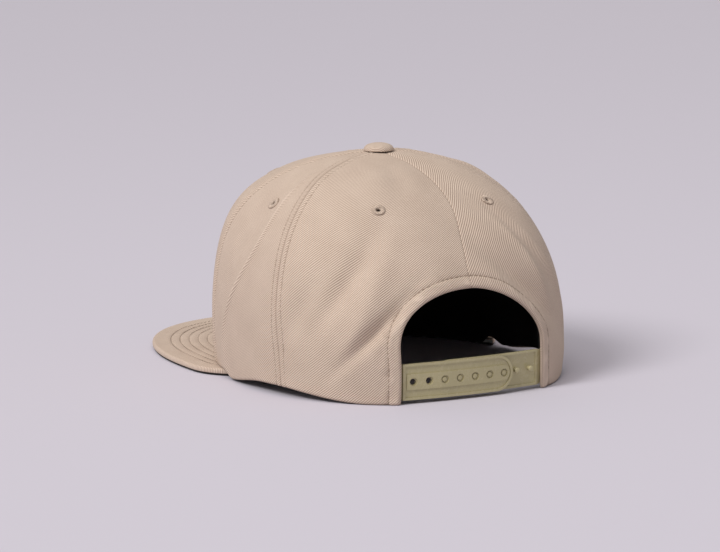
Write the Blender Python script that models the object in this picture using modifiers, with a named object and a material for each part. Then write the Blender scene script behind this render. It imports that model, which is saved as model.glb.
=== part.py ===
"""A six-panel baseball cap with a flat visor and a moulded snap strap.

Metres, +Z up. The visor points to -Y, the strap arch is at +Y, +X is the wearer's left.
The crown is worked out about a vertical axis through its top button. A bearing is an angle
about that axis: 0 is the front, 90 the wearer's left, 180 the back. A depth is a distance
inwards from the crown's outer face. Everything hangs on one empty, which stands the cap on
the floor with the middle of its box over the origin.
"""

import math

import bmesh
import bpy
import numpy as np
from mathutils import Matrix, Vector

# ---------------------------------------------------------------- driving dimensions
GAP = 0.0003  # clearance between pieces that touch
LAYER_GAP = 0.0004  # clearance between the sewn layers of the crown

CROWN_HALF_WIDTH = 0.088
CROWN_HALF_LENGTH = 0.101
CROWN_SET_BACK = 0.0075  # how far the rim's centre lies behind the button
CROWN_HEIGHT = 0.1187
RIM_SQUARENESS = 2.2  # exponent of the rim's outline, 2 for an ellipse
FLARE = 0.017  # how much the wall widens over its lowest part
FLARE_HEIGHT = 0.04
# Exponents of the crown's outline from rim to button: across, then up.
FRONT_OUTLINE = (1.5, 6.3)
SIDE_OUTLINE = (2.2, 3.3)
BACK_OUTLINE = (1.66, 2.55)
SIDE_LIFT = 0.005  # how far the hem arches off the floor at each side
VISOR_END_LIFT = 0.0008
# Bearings over which the hem steps off the visor, rises at the side and meets the floor.
HEM_STEP_SPAN = 8.0
HEM_RISE = (6.0, 108.0)  # the first is counted from the visor's end
HEM_FALL = (114.0, 148.0)

FRONT_SEAM_BEARING = 64.0
REAR_SEAM_BEARING_RIM = 117.0
REAR_SEAM_BEARING_TOP = 108.5

TWILL = 0.0011
BUCKRAM = 0.0008
TAPE = 0.0005
TAPE_WIDTH = 0.016
TAPE_MOST_TURN = 20.0  # half the widest angle a tape takes up near the button
BACKING_LOW = 0.012  # share of the crown's height where buckram and tapes begin
SWEATBAND = 0.001
SWEATBAND_HEIGHT = 0.032
SWEATBAND_INSET = 0.003  # from the arch's edge to the sweatband's end

ARCH_HALF_WIDTH = 0.043
ARCH_SIDE_HEIGHT = 0.028
ARCH_HEIGHT = 0.0583
ARCH_ROUNDNESS = 2.2
ARCH_SLUMPED_ROUNDNESS = 1.65  # at the wearer's right, where the cloth has sagged
ARCH_FACING_WIDTH = 0.009
BACK_TAPE_CLEARANCE = 0.002  # between the facing and the tape above it
HEM_CLEARANCE = 0.001  # from the hem up to the facing and the sweatband

VISOR_HALF_WIDTH = 0.0935
VISOR_WIDEST_Y = -0.045
VISOR_TIP_Y = -0.1675
VISOR_ROUNDNESS = 2.35
VISOR_EAR = 0.045  # length of the rounded end behind the widest place
VISOR_BOARD = 0.0018
VISOR_TOP_CLOTH = 0.0007
VISOR_UNDER_CLOTH = 0.0006
VISOR_SEAM_ALLOWANCE = 0.004  # how far the visor reaches in under the crown
VISOR_WRAP = 0.0009  # the covers' edge beyond the board

BUTTON_RADIUS = 0.0083
BUTTON_HEIGHT = 0.0040
BUTTON_CLOTH = 0.0008
BUTTON_SQUARENESS = 2.3  # exponent of the dome's outline, 2 for an ellipse
BUTTON_WALL = 0.0007  # of the steel shell
CROWN_TOP_HOLE = 0.003
RIVET_RADIUS = 0.0015
RIVET_HEAD = 0.0035
WASHER_RADIUS = 0.005
WASHER = 0.0006
TAPE_TOP_RADIUS = 0.008  # how near the button the tapes come

EYELET_RADIUS = 0.0038
EYELET_HOLE = 0.0011
EYELET_PANEL_HOLE = 0.0021
EYELET_FROM_BUTTON = 0.072  # along the cloth
EYELET_GAP = 0.0005
EYELET_FLANGE = 0.0006
EYELET_BEARINGS = {"front": 27.5, "side": 93.0, "back": 150.5}

STRAP_HEIGHT = 0.0192
STRAP_RISE = 0.0018  # height of the strap's lower edge off the floor
STRAP_THICKNESS = 0.0015
STRAP_BEAD = 0.0006
STRAP_BEAD_WIDTH = 0.0014
STRAP_SAG = 0.0035  # how far the strap bows out at the middle
STRAP_TAB_LENGTH = 0.014
STRAP_TAB = 0.0012
STRAP_SWING_CLEARANCE = 0.0008  # tab to the strap's root as it swings
HINGE_INSET = 0.0018  # living hinge, inwards of the arch's edge
SNAP_COUNT = 7
SNAP_PITCH = 0.00885
FIRST_SNAP = 0.0078  # from the arch's edge to the first hole
FIRST_PEG_IN_HOLE = 2  # the inner strap's end peg sits in this hole, counted from 0
HOLE_RADIUS = 0.00165
COUNTERBORE_RADIUS = 0.0022
COUNTERBORE_DEPTH = 0.0007
PEG_CLEARANCE = 0.00035
TONGUE_OVERHANG = 0.0055  # from the last hole to the outer strap's end
PLATEAU_HEIGHT = 0.0084
PLATEAU_OVERHANG = 0.0036
PEG_ROUNDING = 0.55  # of the peg's radius
THROUGH = 0.004  # how far a cutter runs past what it cuts
PEG_ROOT = 0.0003  # how far a peg's foot runs into the strap it stands on

# ---------------------------------------------------------------- values that follow
FACING_DEPTH = TWILL + LAYER_GAP
TAB_DEPTH = FACING_DEPTH + TAPE + LAYER_GAP
BUCKRAM_DEPTH = TWILL + LAYER_GAP
FRONT_TAPE_DEPTH = BUCKRAM_DEPTH + BUCKRAM + LAYER_GAP
SWEATBAND_DEPTH = max(TAB_DEPTH + STRAP_TAB, FRONT_TAPE_DEPTH + TAPE) + LAYER_GAP
VISOR_STACK = VISOR_UNDER_CLOTH + VISOR_BOARD + VISOR_TOP_CLOTH + 2 * GAP
HEM_OVER_VISOR = VISOR_STACK + GAP
STRAP_STEP = STRAP_THICKNESS + GAP
STRAP_TAB_START = STRAP_THICKNESS / 2 + STRAP_BEAD + STRAP_SWING_CLEARANCE
HINGE_X = ARCH_HALF_WIDTH - HINGE_INSET
PEG_RADIUS = HOLE_RADIUS - PEG_CLEARANCE
STRAP_MIDDLE = STRAP_RISE + STRAP_HEIGHT / 2
LAST_HOLE_X = ARCH_HALF_WIDTH - FIRST_SNAP - (SNAP_COUNT - 1) * SNAP_PITCH
FIRST_PEG_X = ARCH_HALF_WIDTH - FIRST_SNAP - FIRST_PEG_IN_HOLE * SNAP_PITCH

COLUMNS = 11  # steps across a crown panel
ROWS = 15  # steps up a crown panel
ROUND = 20  # sides of a round piece

# ---------------------------------------------------------------- scene and helpers
for old in list(bpy.data.objects):
    bpy.data.objects.remove(old)

parts = bpy.data.collections.new("baseball_cap")
cutters = bpy.data.collections.new("cutters")
bpy.context.scene.collection.children.link(parts)
bpy.context.scene.collection.children.link(cutters)
cutters.hide_render = True

datum = bpy.data.objects.new("cap_datum", None)
parts.objects.link(datum)


def material(name, colour, roughness, metallic=0.0):
    made = bpy.data.materials.new(name)
    made.use_nodes = True
    shader = made.node_tree.nodes["Principled BSDF"]
    shader.inputs["Base Color"].default_value = (*colour, 1.0)
    shader.inputs["Roughness"].default_value = roughness
    shader.inputs["Metallic"].default_value = metallic
    return made


TWILL_CLOTH = ((0.52, 0.40, 0.33), 0.9)
DARK_CLOTH = ((0.02, 0.018, 0.017), 0.9)
THREAD = ((0.45, 0.34, 0.27), 0.7)
MOULDED = ((0.25, 0.21, 0.12), 0.45)
BOARD = ((0.75, 0.75, 0.73), 0.6)
STEEL = ((0.6, 0.6, 0.62), 0.35, 1.0)


def add_part(name, mesh, look):
    """The piece as a named object that hangs on the datum."""
    piece = bpy.data.objects.new(name, mesh)
    parts.objects.link(piece)
    piece.parent = datum
    piece.data.materials.append(material(name, *look))
    return piece


def add_cutter(name, mesh):
    cutter = bpy.data.objects.new(name, mesh)
    cutters.objects.link(cutter)
    cutter.parent = datum
    cutter.hide_render = True
    cutter.display_type = "WIRE"
    return cutter


def smooth(piece, angle=40.0):
    piece.data.shade_smooth()
    piece.data.set_sharp_from_angle(angle=math.radians(angle))


def boolean(piece, cutter, operation="DIFFERENCE"):
    cut = piece.modifiers.new(cutter.name, "BOOLEAN")
    cut.object = cutter
    cut.operation = operation
    return cut


def smoothstep(value, low, high):
    share = np.clip((value - low) / (high - low), 0.0, 1.0)
    return share * share * (3.0 - 2.0 * share)


# ---------------------------------------------------------------- the crown's surface
def rim_reach(bearing):
    """Distance from the button's axis to the rim's outline, found by halving."""
    across, along = math.sin(bearing), -math.cos(bearing)
    low, high = 0.0, CROWN_HALF_WIDTH + CROWN_HALF_LENGTH
    for _ in range(40):
        reach = (low + high) / 2
        x = abs(reach * across) / CROWN_HALF_WIDTH
        y = abs(reach * along - CROWN_SET_BACK) / CROWN_HALF_LENGTH
        if x**RIM_SQUARENESS + y**RIM_SQUARENESS > 1.0:
            high = reach
        else:
            low = reach
    return reach


def visor_edge(turn, shrink):
    """A point of the visor's outer edge; turn is 0 at the wearer's left and pi at the right."""
    across, ahead = math.cos(turn), math.sin(turn)
    half = VISOR_HALF_WIDTH - shrink
    length = VISOR_WIDEST_Y - VISOR_TIP_Y - shrink if ahead >= 0 else VISOR_EAR - shrink
    x = half * math.copysign(abs(across) ** (2 / VISOR_ROUNDNESS), across)
    y = VISOR_WIDEST_Y - length * math.copysign(abs(ahead) ** (2 / VISOR_ROUNDNESS), ahead)
    return x, y


def visor_end_bearing():
    """The bearing where the visor's edge runs in under the crown, in degrees."""
    for step in range(400):
        x, y = visor_edge(-math.pi / 2 * (1.0 - step / 400), 0.0)
        bearing = math.atan2(x, -y)
        if math.hypot(x, y) > rim_reach(bearing) - VISOR_SEAM_ALLOWANCE:
            return math.degrees(bearing)
    return 90.0


VISOR_END = visor_end_bearing()


def hem_height(bearing):
    """The hem rests on the visor, dips at its ends, arches at the sides and meets the floor."""
    turn = abs((math.degrees(bearing) + 180.0) % 360.0 - 180.0)
    off_visor = smoothstep(turn, VISOR_END, VISOR_END + HEM_STEP_SPAN)
    side = smoothstep(turn, VISOR_END + HEM_RISE[0], HEM_RISE[1])
    down = 1.0 - smoothstep(turn, *HEM_FALL)
    lift = VISOR_END_LIFT * (1.0 - side) + SIDE_LIFT * side
    return float(HEM_OVER_VISOR * (1.0 - off_visor) + lift * off_visor * down)


def outline_exponents(bearing):
    ahead = math.cos(bearing)
    other = np.array(FRONT_OUTLINE if ahead > 0 else BACK_OUTLINE)
    side = np.array(SIDE_OUTLINE)
    return side + (other - side) * ahead**2


def meridian(bearing, steps=240):
    """Radius, height and share of length along the crown's outline at one bearing."""
    across, up = outline_exponents(bearing)
    sweep = np.linspace(0.0, 1.0, steps) ** 2 * math.pi / 2
    hem = hem_height(bearing)
    radius = rim_reach(bearing) * np.cos(sweep).clip(0.0) ** (2 / across)
    height = hem + (CROWN_HEIGHT - hem) * np.sin(sweep) ** (2 / up)
    flare = np.clip(height / FLARE_HEIGHT, 0.0, 1.0)
    radius = radius * (1.0 + FLARE * flare * (2.0 - flare))
    length = np.concatenate([[0.0], np.cumsum(np.hypot(np.diff(radius), np.diff(height)))])
    return radius, height, length / length[-1]


def outline_length(bearing):
    radius, height, _ = meridian(bearing)
    return float(np.hypot(np.diff(radius), np.diff(height)).sum())


def face_point(bearing, share):
    radius, height, along = meridian(bearing)
    reach = np.interp(share, along, radius)
    return np.array(
        [reach * math.sin(bearing), -reach * math.cos(bearing), np.interp(share, along, height)]
    )


def crown_point(bearing, share, depth=0.0):
    """A point on the crown, that far in from its outer face."""
    nudge = 0.004
    east = face_point(bearing + nudge, share) - face_point(bearing - nudge, share)
    low, high = max(share - nudge, 0.0), min(share + nudge, 1.0)
    north = face_point(bearing, high) - face_point(bearing, low)
    outward = np.cross(east, north)
    outward /= np.linalg.norm(outward)
    return face_point(bearing, share) - outward * depth


def share_at_height(bearing, height):
    _, heights, along = meridian(bearing)
    return float(np.interp(height, heights, along))


def share_at_radius(bearing, radius):
    radii, _, along = meridian(bearing)
    return float(np.interp(-radius, -radii, along))


def bearing_at_x(x, height, depth=0.0):
    """The bearing at the back where the crown passes x at that height, by halving."""
    low, high = math.radians(110.0), math.radians(180.0)
    for _ in range(30):
        middle = (low + high) / 2
        if crown_point(middle, share_at_height(middle, height), depth)[0] > x:
            low = middle
        else:
            high = middle
    return middle


def rear_seam(share):
    """The seam between side and back panel leans forwards as it climbs."""
    step = REAR_SEAM_BEARING_TOP - REAR_SEAM_BEARING_RIM
    return math.radians(REAR_SEAM_BEARING_RIM + step * share)


SEAMS = {
    "front": lambda share: 0.0,
    "front_left": lambda share: math.radians(FRONT_SEAM_BEARING),
    "rear_left": rear_seam,
    "back": lambda share: math.pi,
    "rear_right": lambda share: 2 * math.pi - rear_seam(share),
    "front_right": lambda share: 2 * math.pi - math.radians(FRONT_SEAM_BEARING),
}


def mapped_sheet(name, place, columns, rows, depth, thickness, look):
    """A grid whose corners place(u, v) gives as bearing and share, made a solid inwards."""
    mesh = bpy.data.meshes.new(name)
    grid = bmesh.new()
    bmesh.ops.create_grid(grid, x_segments=columns, y_segments=rows, size=0.5)
    for corner in grid.verts:
        bearing, share = place(corner.co.x + 0.5, corner.co.y + 0.5)
        corner.co = Vector(crown_point(bearing, share, depth))
    grid.to_mesh(mesh)
    grid.free()
    piece = add_part(name, mesh, look)
    wall = piece.modifiers.new("thickness", "SOLIDIFY")
    wall.thickness = thickness
    wall.offset = -1.0
    wall.use_even_offset = True
    smooth(piece)
    return piece


def between_seams(start, end, low, top_radius):
    """A place for mapped_sheet: from seam to seam, with half a gap at each."""

    def place(u, v):
        guess = start(v) + (end(v) - start(v)) * u
        share = low + (share_at_radius(guess, top_radius) - low) * v
        reach = max(np.interp(share, meridian(guess)[2], meridian(guess)[0]), top_radius)
        inset = GAP / 2 / reach
        first, last = start(share) + inset, end(share) - inset
        return first + (last - first) * u, share

    return place


# ---------------------------------------------------------------- arch, as a prism to cut with
def arch_outline(margin=0.0, foot=-0.01):
    """Corners of the arch in X and Z, grown by a margin, round the top from +X to -X."""
    half = ARCH_HALF_WIDTH + margin
    rise = ARCH_HEIGHT + margin - ARCH_SIDE_HEIGHT
    corners = [(half, foot)]
    for step in range(25):
        turn = math.pi * step / 24
        power = 2 / (ARCH_ROUNDNESS if step <= 12 else ARCH_SLUMPED_ROUNDNESS)
        across = math.copysign(abs(math.cos(turn)) ** power, math.cos(turn))
        corners.append((half * across, ARCH_SIDE_HEIGHT + rise * math.sin(turn) ** power))
    corners.append((-half, foot))
    return corners


def outline_mesh(name, corners, thickness):
    """A flat closed outline made a plate, as thick as given, about the plane of the outline."""
    curve = bpy.data.curves.new(name, "CURVE")
    curve.dimensions = "2D"
    curve.fill_mode = "BOTH"
    curve.extrude = thickness / 2
    line = curve.splines.new("POLY")
    line.points.add(len(corners) - 1)
    for point, (x, y) in zip(line.points, corners):
        point.co = (x, y, 0.0, 1.0)
    line.use_cyclic_u = True
    holder = bpy.data.objects.new(name + "_outline", curve)
    bpy.context.scene.collection.objects.link(holder)
    bpy.context.view_layer.update()
    graph = bpy.context.evaluated_depsgraph_get()
    mesh = bpy.data.meshes.new_from_object(holder.evaluated_get(graph))
    bpy.data.objects.remove(holder)
    shape = bmesh.new()
    shape.from_mesh(mesh)
    bmesh.ops.remove_doubles(shape, verts=shape.verts, dist=0.000005)
    bmesh.ops.recalc_face_normals(shape, faces=shape.faces)
    shape.to_mesh(mesh)
    shape.free()
    mesh.name = name
    return mesh


def arch_prism(name, margin):
    """The arch as a prism through the back of the crown, lying along Y."""
    prism = add_cutter(name, outline_mesh(name, arch_outline(margin), CROWN_HALF_LENGTH))
    prism.rotation_euler = (math.pi / 2, 0.0, 0.0)
    prism.location = (0.0, CROWN_HALF_LENGTH, 0.0)
    return prism


arch = arch_prism("arch_cutter", 0.0)
arch_facing_edge = arch_prism("arch_facing_cutter", ARCH_FACING_WIDTH)


# ---------------------------------------------------------------- panels and their backing
def panel(name, start, end, look=TWILL_CLOTH):
    place = between_seams(SEAMS[start], SEAMS[end], 0.0, CROWN_TOP_HOLE)
    return mapped_sheet(name, place, COLUMNS, ROWS, 0.0, TWILL, look)


def full_turn(seam):
    return lambda share: 2 * math.pi + SEAMS[seam](share)


SEAMS["front_again"] = full_turn("front")
panels = {
    "front_left": panel("front_panel_left", "front", "front_left"),
    "side_left": panel("side_panel_left", "front_left", "rear_left"),
    "back_left": panel("back_panel_left", "rear_left", "back"),
    "back_right": panel("back_panel_right", "back", "rear_right"),
    "side_right": panel("side_panel_right", "rear_right", "front_right"),
    "front_right": panel("front_panel_right", "front_right", "front_again"),
}
boolean(panels["back_left"], arch)
boolean(panels["back_right"], arch)

buckrams = {}
for side, start, end in (
    ("left", "front", "front_left"),
    ("right", "front_right", "front_again"),
):
    place = between_seams(SEAMS[start], SEAMS[end], BACKING_LOW, CROWN_TOP_HOLE)
    buckrams[side] = mapped_sheet(
        "front_buckram_" + side, place, COLUMNS, ROWS, BUCKRAM_DEPTH, BUCKRAM, DARK_CLOTH
    )


def seam_tape(name, seam, depth, low):
    """A binding strip over a seam, which narrows where the six of them meet."""

    def place(u, v):
        guess = SEAMS[seam](v)
        top = share_at_radius(guess, TAPE_TOP_RADIUS)
        share = low + (top - low) * v
        middle = SEAMS[seam](share)
        reach = float(np.interp(share, meridian(middle)[2], meridian(middle)[0]))
        half = min(TAPE_WIDTH / 2 / reach, math.radians(TAPE_MOST_TURN))
        return middle + half * (2 * u - 1), share

    return mapped_sheet(name, place, 2, ROWS, depth, TAPE, DARK_CLOTH)


ARCH_TAPE_START = share_at_height(math.pi, ARCH_HEIGHT + ARCH_FACING_WIDTH + BACK_TAPE_CLEARANCE)
for name, seam, depth, low in (
    ("seam_tape_front", "front", FRONT_TAPE_DEPTH, BACKING_LOW),
    ("seam_tape_front_left", "front_left", FRONT_TAPE_DEPTH, BACKING_LOW),
    ("seam_tape_front_right", "front_right", FRONT_TAPE_DEPTH, BACKING_LOW),
    ("seam_tape_rear_left", "rear_left", BUCKRAM_DEPTH, BACKING_LOW),
    ("seam_tape_rear_right", "rear_right", BUCKRAM_DEPTH, BACKING_LOW),
    ("seam_tape_back", "back", BUCKRAM_DEPTH, ARCH_TAPE_START),
):
    seam_tape(name, seam, depth, low)


def facing_place(u, v):
    """The stretch of the back that the arch's facing is cut from, with some to spare."""
    spare = ARCH_FACING_WIDTH + 0.004
    edge = bearing_at_x(ARCH_HALF_WIDTH + spare, STRAP_MIDDLE)
    bearing = edge + (2 * math.pi - 2 * edge) * u
    top = share_at_height(bearing, ARCH_HEIGHT + spare)
    low = share_at_height(bearing, HEM_CLEARANCE)
    return bearing, low + (top - low) * v


arch_facing = mapped_sheet(
    "arch_facing_tape", facing_place, 2 * COLUMNS, COLUMNS, FACING_DEPTH, TAPE, TWILL_CLOTH
)
boolean(arch_facing, arch_facing_edge, "INTERSECT")
boolean(arch_facing, arch)


def sweatband_place(u, v):
    edge = bearing_at_x(ARCH_HALF_WIDTH + SWEATBAND_INSET, STRAP_MIDDLE, SWEATBAND_DEPTH)
    bearing = edge * (2 * u - 1)
    hem = hem_height(bearing)
    low = share_at_height(bearing, hem + HEM_CLEARANCE)
    high = share_at_height(bearing, hem + SWEATBAND_HEIGHT)
    return bearing, low + (high - low) * v


mapped_sheet("sweatband", sweatband_place, 48, 3, SWEATBAND_DEPTH, SWEATBAND, DARK_CLOTH)


# ---------------------------------------------------------------- eyelets
def eyelet_profile(skin):
    """The thread's cross-section: a flange outside, one inside, and a neck through the cloth."""
    neck = EYELET_PANEL_HOLE - GAP
    inner = -(skin + EYELET_GAP)
    lip = EYELET_FLANGE * 0.4
    outer = GAP + EYELET_FLANGE
    return [
        (EYELET_HOLE, GAP + lip),
        (EYELET_HOLE + lip, outer),
        (EYELET_RADIUS - lip, outer),
        (EYELET_RADIUS, GAP + lip),
        (EYELET_RADIUS, GAP),
        (neck, GAP),
        (neck, inner),
        (EYELET_RADIUS, inner),
        (EYELET_RADIUS, inner - lip),
        (EYELET_RADIUS - lip, inner - EYELET_FLANGE),
        (EYELET_HOLE + lip, inner - EYELET_FLANGE),
        (EYELET_HOLE, inner - lip),
    ]


def turned(name, profile, look, closed=False, steps=ROUND):
    """A profile in X and Z, turned about Z. It runs down the outer side, from top to bottom."""
    mesh = bpy.data.meshes.new(name)
    edges = [(i, i + 1) for i in range(len(profile) - 1)]
    if closed:
        edges.append((len(profile) - 1, 0))
    mesh.from_pydata([(x, 0.0, z) for x, z in profile], edges, [])
    piece = add_part(name, mesh, look)
    spin = piece.modifiers.new("turn", "SCREW")
    spin.steps = spin.render_steps = steps
    spin.use_merge_vertices = True
    spin.merge_threshold = 0.00001
    spin.use_smooth_shade = True
    return piece


def eyelet(name, bearing, targets, skin):
    share = 1.0 - EYELET_FROM_BUTTON / outline_length(bearing)
    centre = Vector(crown_point(bearing, share))
    outward = (centre - Vector(crown_point(bearing, share, 0.01))).normalized()
    ring = turned(name, eyelet_profile(skin), THREAD, closed=True, steps=14)
    ring.location = centre
    ring.rotation_euler = outward.to_track_quat("Z", "Y").to_euler()
    mesh = bpy.data.meshes.new(name + "_cutter")
    plug = bmesh.new()
    bmesh.ops.create_cone(
        plug,
        cap_ends=True,
        segments=16,
        radius1=EYELET_PANEL_HOLE,
        radius2=EYELET_PANEL_HOLE,
        depth=2 * EYELET_RADIUS,
    )
    plug.to_mesh(mesh)
    plug.free()
    cutter = add_cutter(name + "_cutter", mesh)
    cutter.location = ring.location
    cutter.rotation_euler = ring.rotation_euler
    for target in targets:
        boolean(target, cutter)


for zone, degrees in EYELET_BEARINGS.items():
    for side, bearing in (("left", math.radians(degrees)), ("right", math.radians(360 - degrees))):
        targets = [panels[zone + "_" + side]]
        skin = TWILL
        if zone == "front":
            targets.append(buckrams[side])
            skin = BUCKRAM_DEPTH + BUCKRAM
        eyelet("eyelet_" + zone + "_" + side, bearing, targets, skin)


# ---------------------------------------------------------------- top button
def dome(radius, height, steps):
    """Points of a domed cap, from its crown outwards and down to its edge."""
    power = 2 / BUTTON_SQUARENESS
    points = [(0.0, height)]
    for step in range(1, steps):
        turn = math.pi / 2 * (1.0 - step / steps)
        points.append((radius * math.cos(turn) ** power, height * math.sin(turn) ** power))
    points.append((radius, 0.0))
    return points


BUTTON_SEAT = CROWN_HEIGHT + GAP
SHELL_RADIUS = BUTTON_RADIUS - BUTTON_CLOTH - GAP
SHELL_TOP = BUTTON_HEIGHT - BUTTON_CLOTH - GAP
outer_cloth = dome(BUTTON_RADIUS, BUTTON_HEIGHT, 7)
inner_cloth = dome(BUTTON_RADIUS - BUTTON_CLOTH, BUTTON_HEIGHT - BUTTON_CLOTH, 7)
button_cover = turned("top_button_cover", outer_cloth + inner_cloth[::-1], TWILL_CLOTH)
shell_outer = dome(SHELL_RADIUS, SHELL_TOP, 6)
shell_inner = dome(SHELL_RADIUS - BUTTON_WALL, SHELL_TOP - BUTTON_WALL, 6)
button_shell = turned("top_button_shell", shell_outer + shell_inner[::-1], STEEL)
for piece in (button_cover, button_shell):
    piece.location = (0.0, 0.0, BUTTON_SEAT)

WASHER_TOP = -(FRONT_TAPE_DEPTH + LAYER_GAP)  # below the crown's outer face
rivet_top = SHELL_TOP - BUTTON_WALL - GAP
rivet_foot = WASHER_TOP - WASHER - GAP
button_rivet = turned(
    "top_button_rivet",
    [
        (0.0, rivet_top),
        (RIVET_HEAD, rivet_top - 0.0003),
        (RIVET_HEAD, rivet_top - 0.001),
        (RIVET_RADIUS, rivet_top - 0.0014),
        (RIVET_RADIUS, rivet_foot),
        (RIVET_RADIUS + 0.0011, rivet_foot),
        (RIVET_RADIUS + 0.0008, rivet_foot - 0.0006),
        (0.0, rivet_foot - 0.0007),
    ],
    STEEL,
)
button_rivet.location = (0.0, 0.0, BUTTON_SEAT)
button_washer = turned(
    "top_button_washer",
    [
        (RIVET_RADIUS + GAP, WASHER_TOP),
        (WASHER_RADIUS, WASHER_TOP),
        (WASHER_RADIUS, WASHER_TOP - WASHER),
        (RIVET_RADIUS + GAP, WASHER_TOP - WASHER),
    ],
    STEEL,
    closed=True,
)
button_washer.location = (0.0, 0.0, BUTTON_SEAT)


# ---------------------------------------------------------------- visor
def rim_inset_point(bearing, inset):
    reach = rim_reach(bearing) - inset
    return reach * math.sin(bearing), -reach * math.cos(bearing)


def outside_rim(x, y, inset):
    return math.hypot(x, y) > rim_reach(math.atan2(x, -y)) - inset


def visor_outline(shrink, steps=56):
    """Round the outer edge, then back along the crown's rim, a seam allowance inside it."""
    behind = 0.8  # radians of the edge behind its widest place, part of it under the crown
    corners = []
    for step in range(steps + 1):
        turn = (math.pi + 2 * behind) * step / steps - behind
        x, y = visor_edge(turn, shrink)
        if outside_rim(x, y, VISOR_SEAM_ALLOWANCE):
            corners.append((x, y))
    (x_first, y_first), (x_last, y_last) = corners[0], corners[-1]
    first, last = math.atan2(x_last, -y_last), math.atan2(x_first, -y_first)
    for step in range(1, steps // 2):
        bearing = first + (last - first) * step / (steps // 2)
        corners.append(rim_inset_point(bearing, VISOR_SEAM_ALLOWANCE))
    return corners


def visor_plate(name, shrink, bottom, thickness, look):
    plate = add_part(name, outline_mesh(name, visor_outline(shrink), thickness), look)
    plate.location = (0.0, 0.0, bottom + thickness / 2)
    smooth(plate, 30.0)
    return plate


BOARD_BOTTOM = VISOR_UNDER_CLOTH + GAP
TOP_CLOTH_BOTTOM = BOARD_BOTTOM + VISOR_BOARD + GAP
visor_plate("visor_under_cover", 0.0, 0.0, VISOR_UNDER_CLOTH, DARK_CLOTH)
visor_plate("visor_board", VISOR_WRAP, BOARD_BOTTOM, VISOR_BOARD, BOARD)
visor_plate("visor_top_cover", 0.0, TOP_CLOTH_BOTTOM, VISOR_TOP_CLOTH, TWILL_CLOTH)


# ---------------------------------------------------------------- snap strap
def crown_y_at(x, height, depth):
    bearing = bearing_at_x(x, height, depth)
    return float(crown_point(bearing, share_at_height(bearing, height), depth)[1])


TAB_MIDDLE_DEPTH = TAB_DEPTH + STRAP_TAB / 2
STRAP_EDGE_Y = crown_y_at(ARCH_HALF_WIDTH, STRAP_MIDDLE, TAB_MIDDLE_DEPTH)
STRAP_TOP_Y = crown_y_at(ARCH_HALF_WIDTH, STRAP_RISE + STRAP_HEIGHT, TAB_MIDDLE_DEPTH)
STRAP_FOOT_Y = crown_y_at(ARCH_HALF_WIDTH, STRAP_RISE, TAB_MIDDLE_DEPTH)
STRAP_LEAN = math.atan2(STRAP_TOP_Y - STRAP_FOOT_Y, STRAP_HEIGHT)  # follows the crown's flare


def strap_line(x, outer):
    """Y of the middle of a strap's thickness: the outer strap lies one step outside the inner."""
    bow = STRAP_SAG * (1.0 - (x / ARCH_HALF_WIDTH) ** 2)
    share = (ARCH_HALF_WIDTH - x) / (2 * ARCH_HALF_WIDTH)
    return STRAP_EDGE_Y + bow + STRAP_STEP * (share if outer else share - 1.0)


def strap_band(name, x_from, x_to, outer, inside, outside):
    """A tall band along the strap's line, from one offset inside it to one outside, in plan."""
    steps = 16
    stations = [x_from + (x_to - x_from) * step / steps for step in range(steps + 1)]
    corners = [(x, strap_line(x, outer) + inside) for x in stations]
    corners += [(x, strap_line(x, outer) + outside) for x in reversed(stations)]
    return outline_mesh(name, corners, STRAP_HEIGHT * 2)


def tongue_outline(root_x, tip_x, half_height):
    """A strap seen from the back: square at its root, round at its tip. X and Z."""
    way = math.copysign(1.0, tip_x - root_x)
    centre = tip_x - way * half_height
    corners = [(root_x, -half_height)]
    for step in range(13):
        turn = math.pi * (step / 12 - 0.5)
        corners.append((centre + way * half_height * math.cos(turn), half_height * math.sin(turn)))
    corners.append((root_x, half_height))
    return corners


def lean(piece, hinge):
    """Puts a piece of the strap, drawn about its hinge, where it belongs."""
    piece.location = hinge
    piece.rotation_euler = (-STRAP_LEAN, 0.0, 0.0)


def prism_through(name, corners):
    """An outline in X and Z as a prism along Y, about the strap's own line."""
    mesh = outline_mesh(name, corners, 0.04)
    mesh.transform(Matrix.Rotation(math.pi / 2, 4, "X"))
    mesh.transform(Matrix.Translation((0.0, STRAP_EDGE_Y, 0.0)))
    return mesh


def pegs_mesh(name, stations, radius, bottom, top, outer, tip=0.0):
    """Round pegs or plugs along Y at each station, from one offset of the line to another."""
    shape = bmesh.new()
    for x in stations:
        line = strap_line(x, outer)
        made = bmesh.ops.create_cone(
            shape, cap_ends=True, segments=16, radius1=radius, radius2=radius, depth=top - bottom
        )
        turn = Matrix.Rotation(-math.pi / 2, 4, "X")
        move = Matrix.Translation((x, line + (top + bottom) / 2, 0.0))
        bmesh.ops.transform(shape, matrix=move @ turn, verts=made["verts"])
        if tip:
            end = [v for v in made["verts"] if v.co.y > line + top - 1e-6]
            rim = [e for e in shape.edges if all(v in end for v in e.verts)]
            bmesh.ops.bevel(shape, geom=rim, offset=tip, segments=2, affect="EDGES", profile=0.6)
    mesh = bpy.data.meshes.new(name)
    shape.to_mesh(mesh)
    shape.free()
    return mesh


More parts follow.
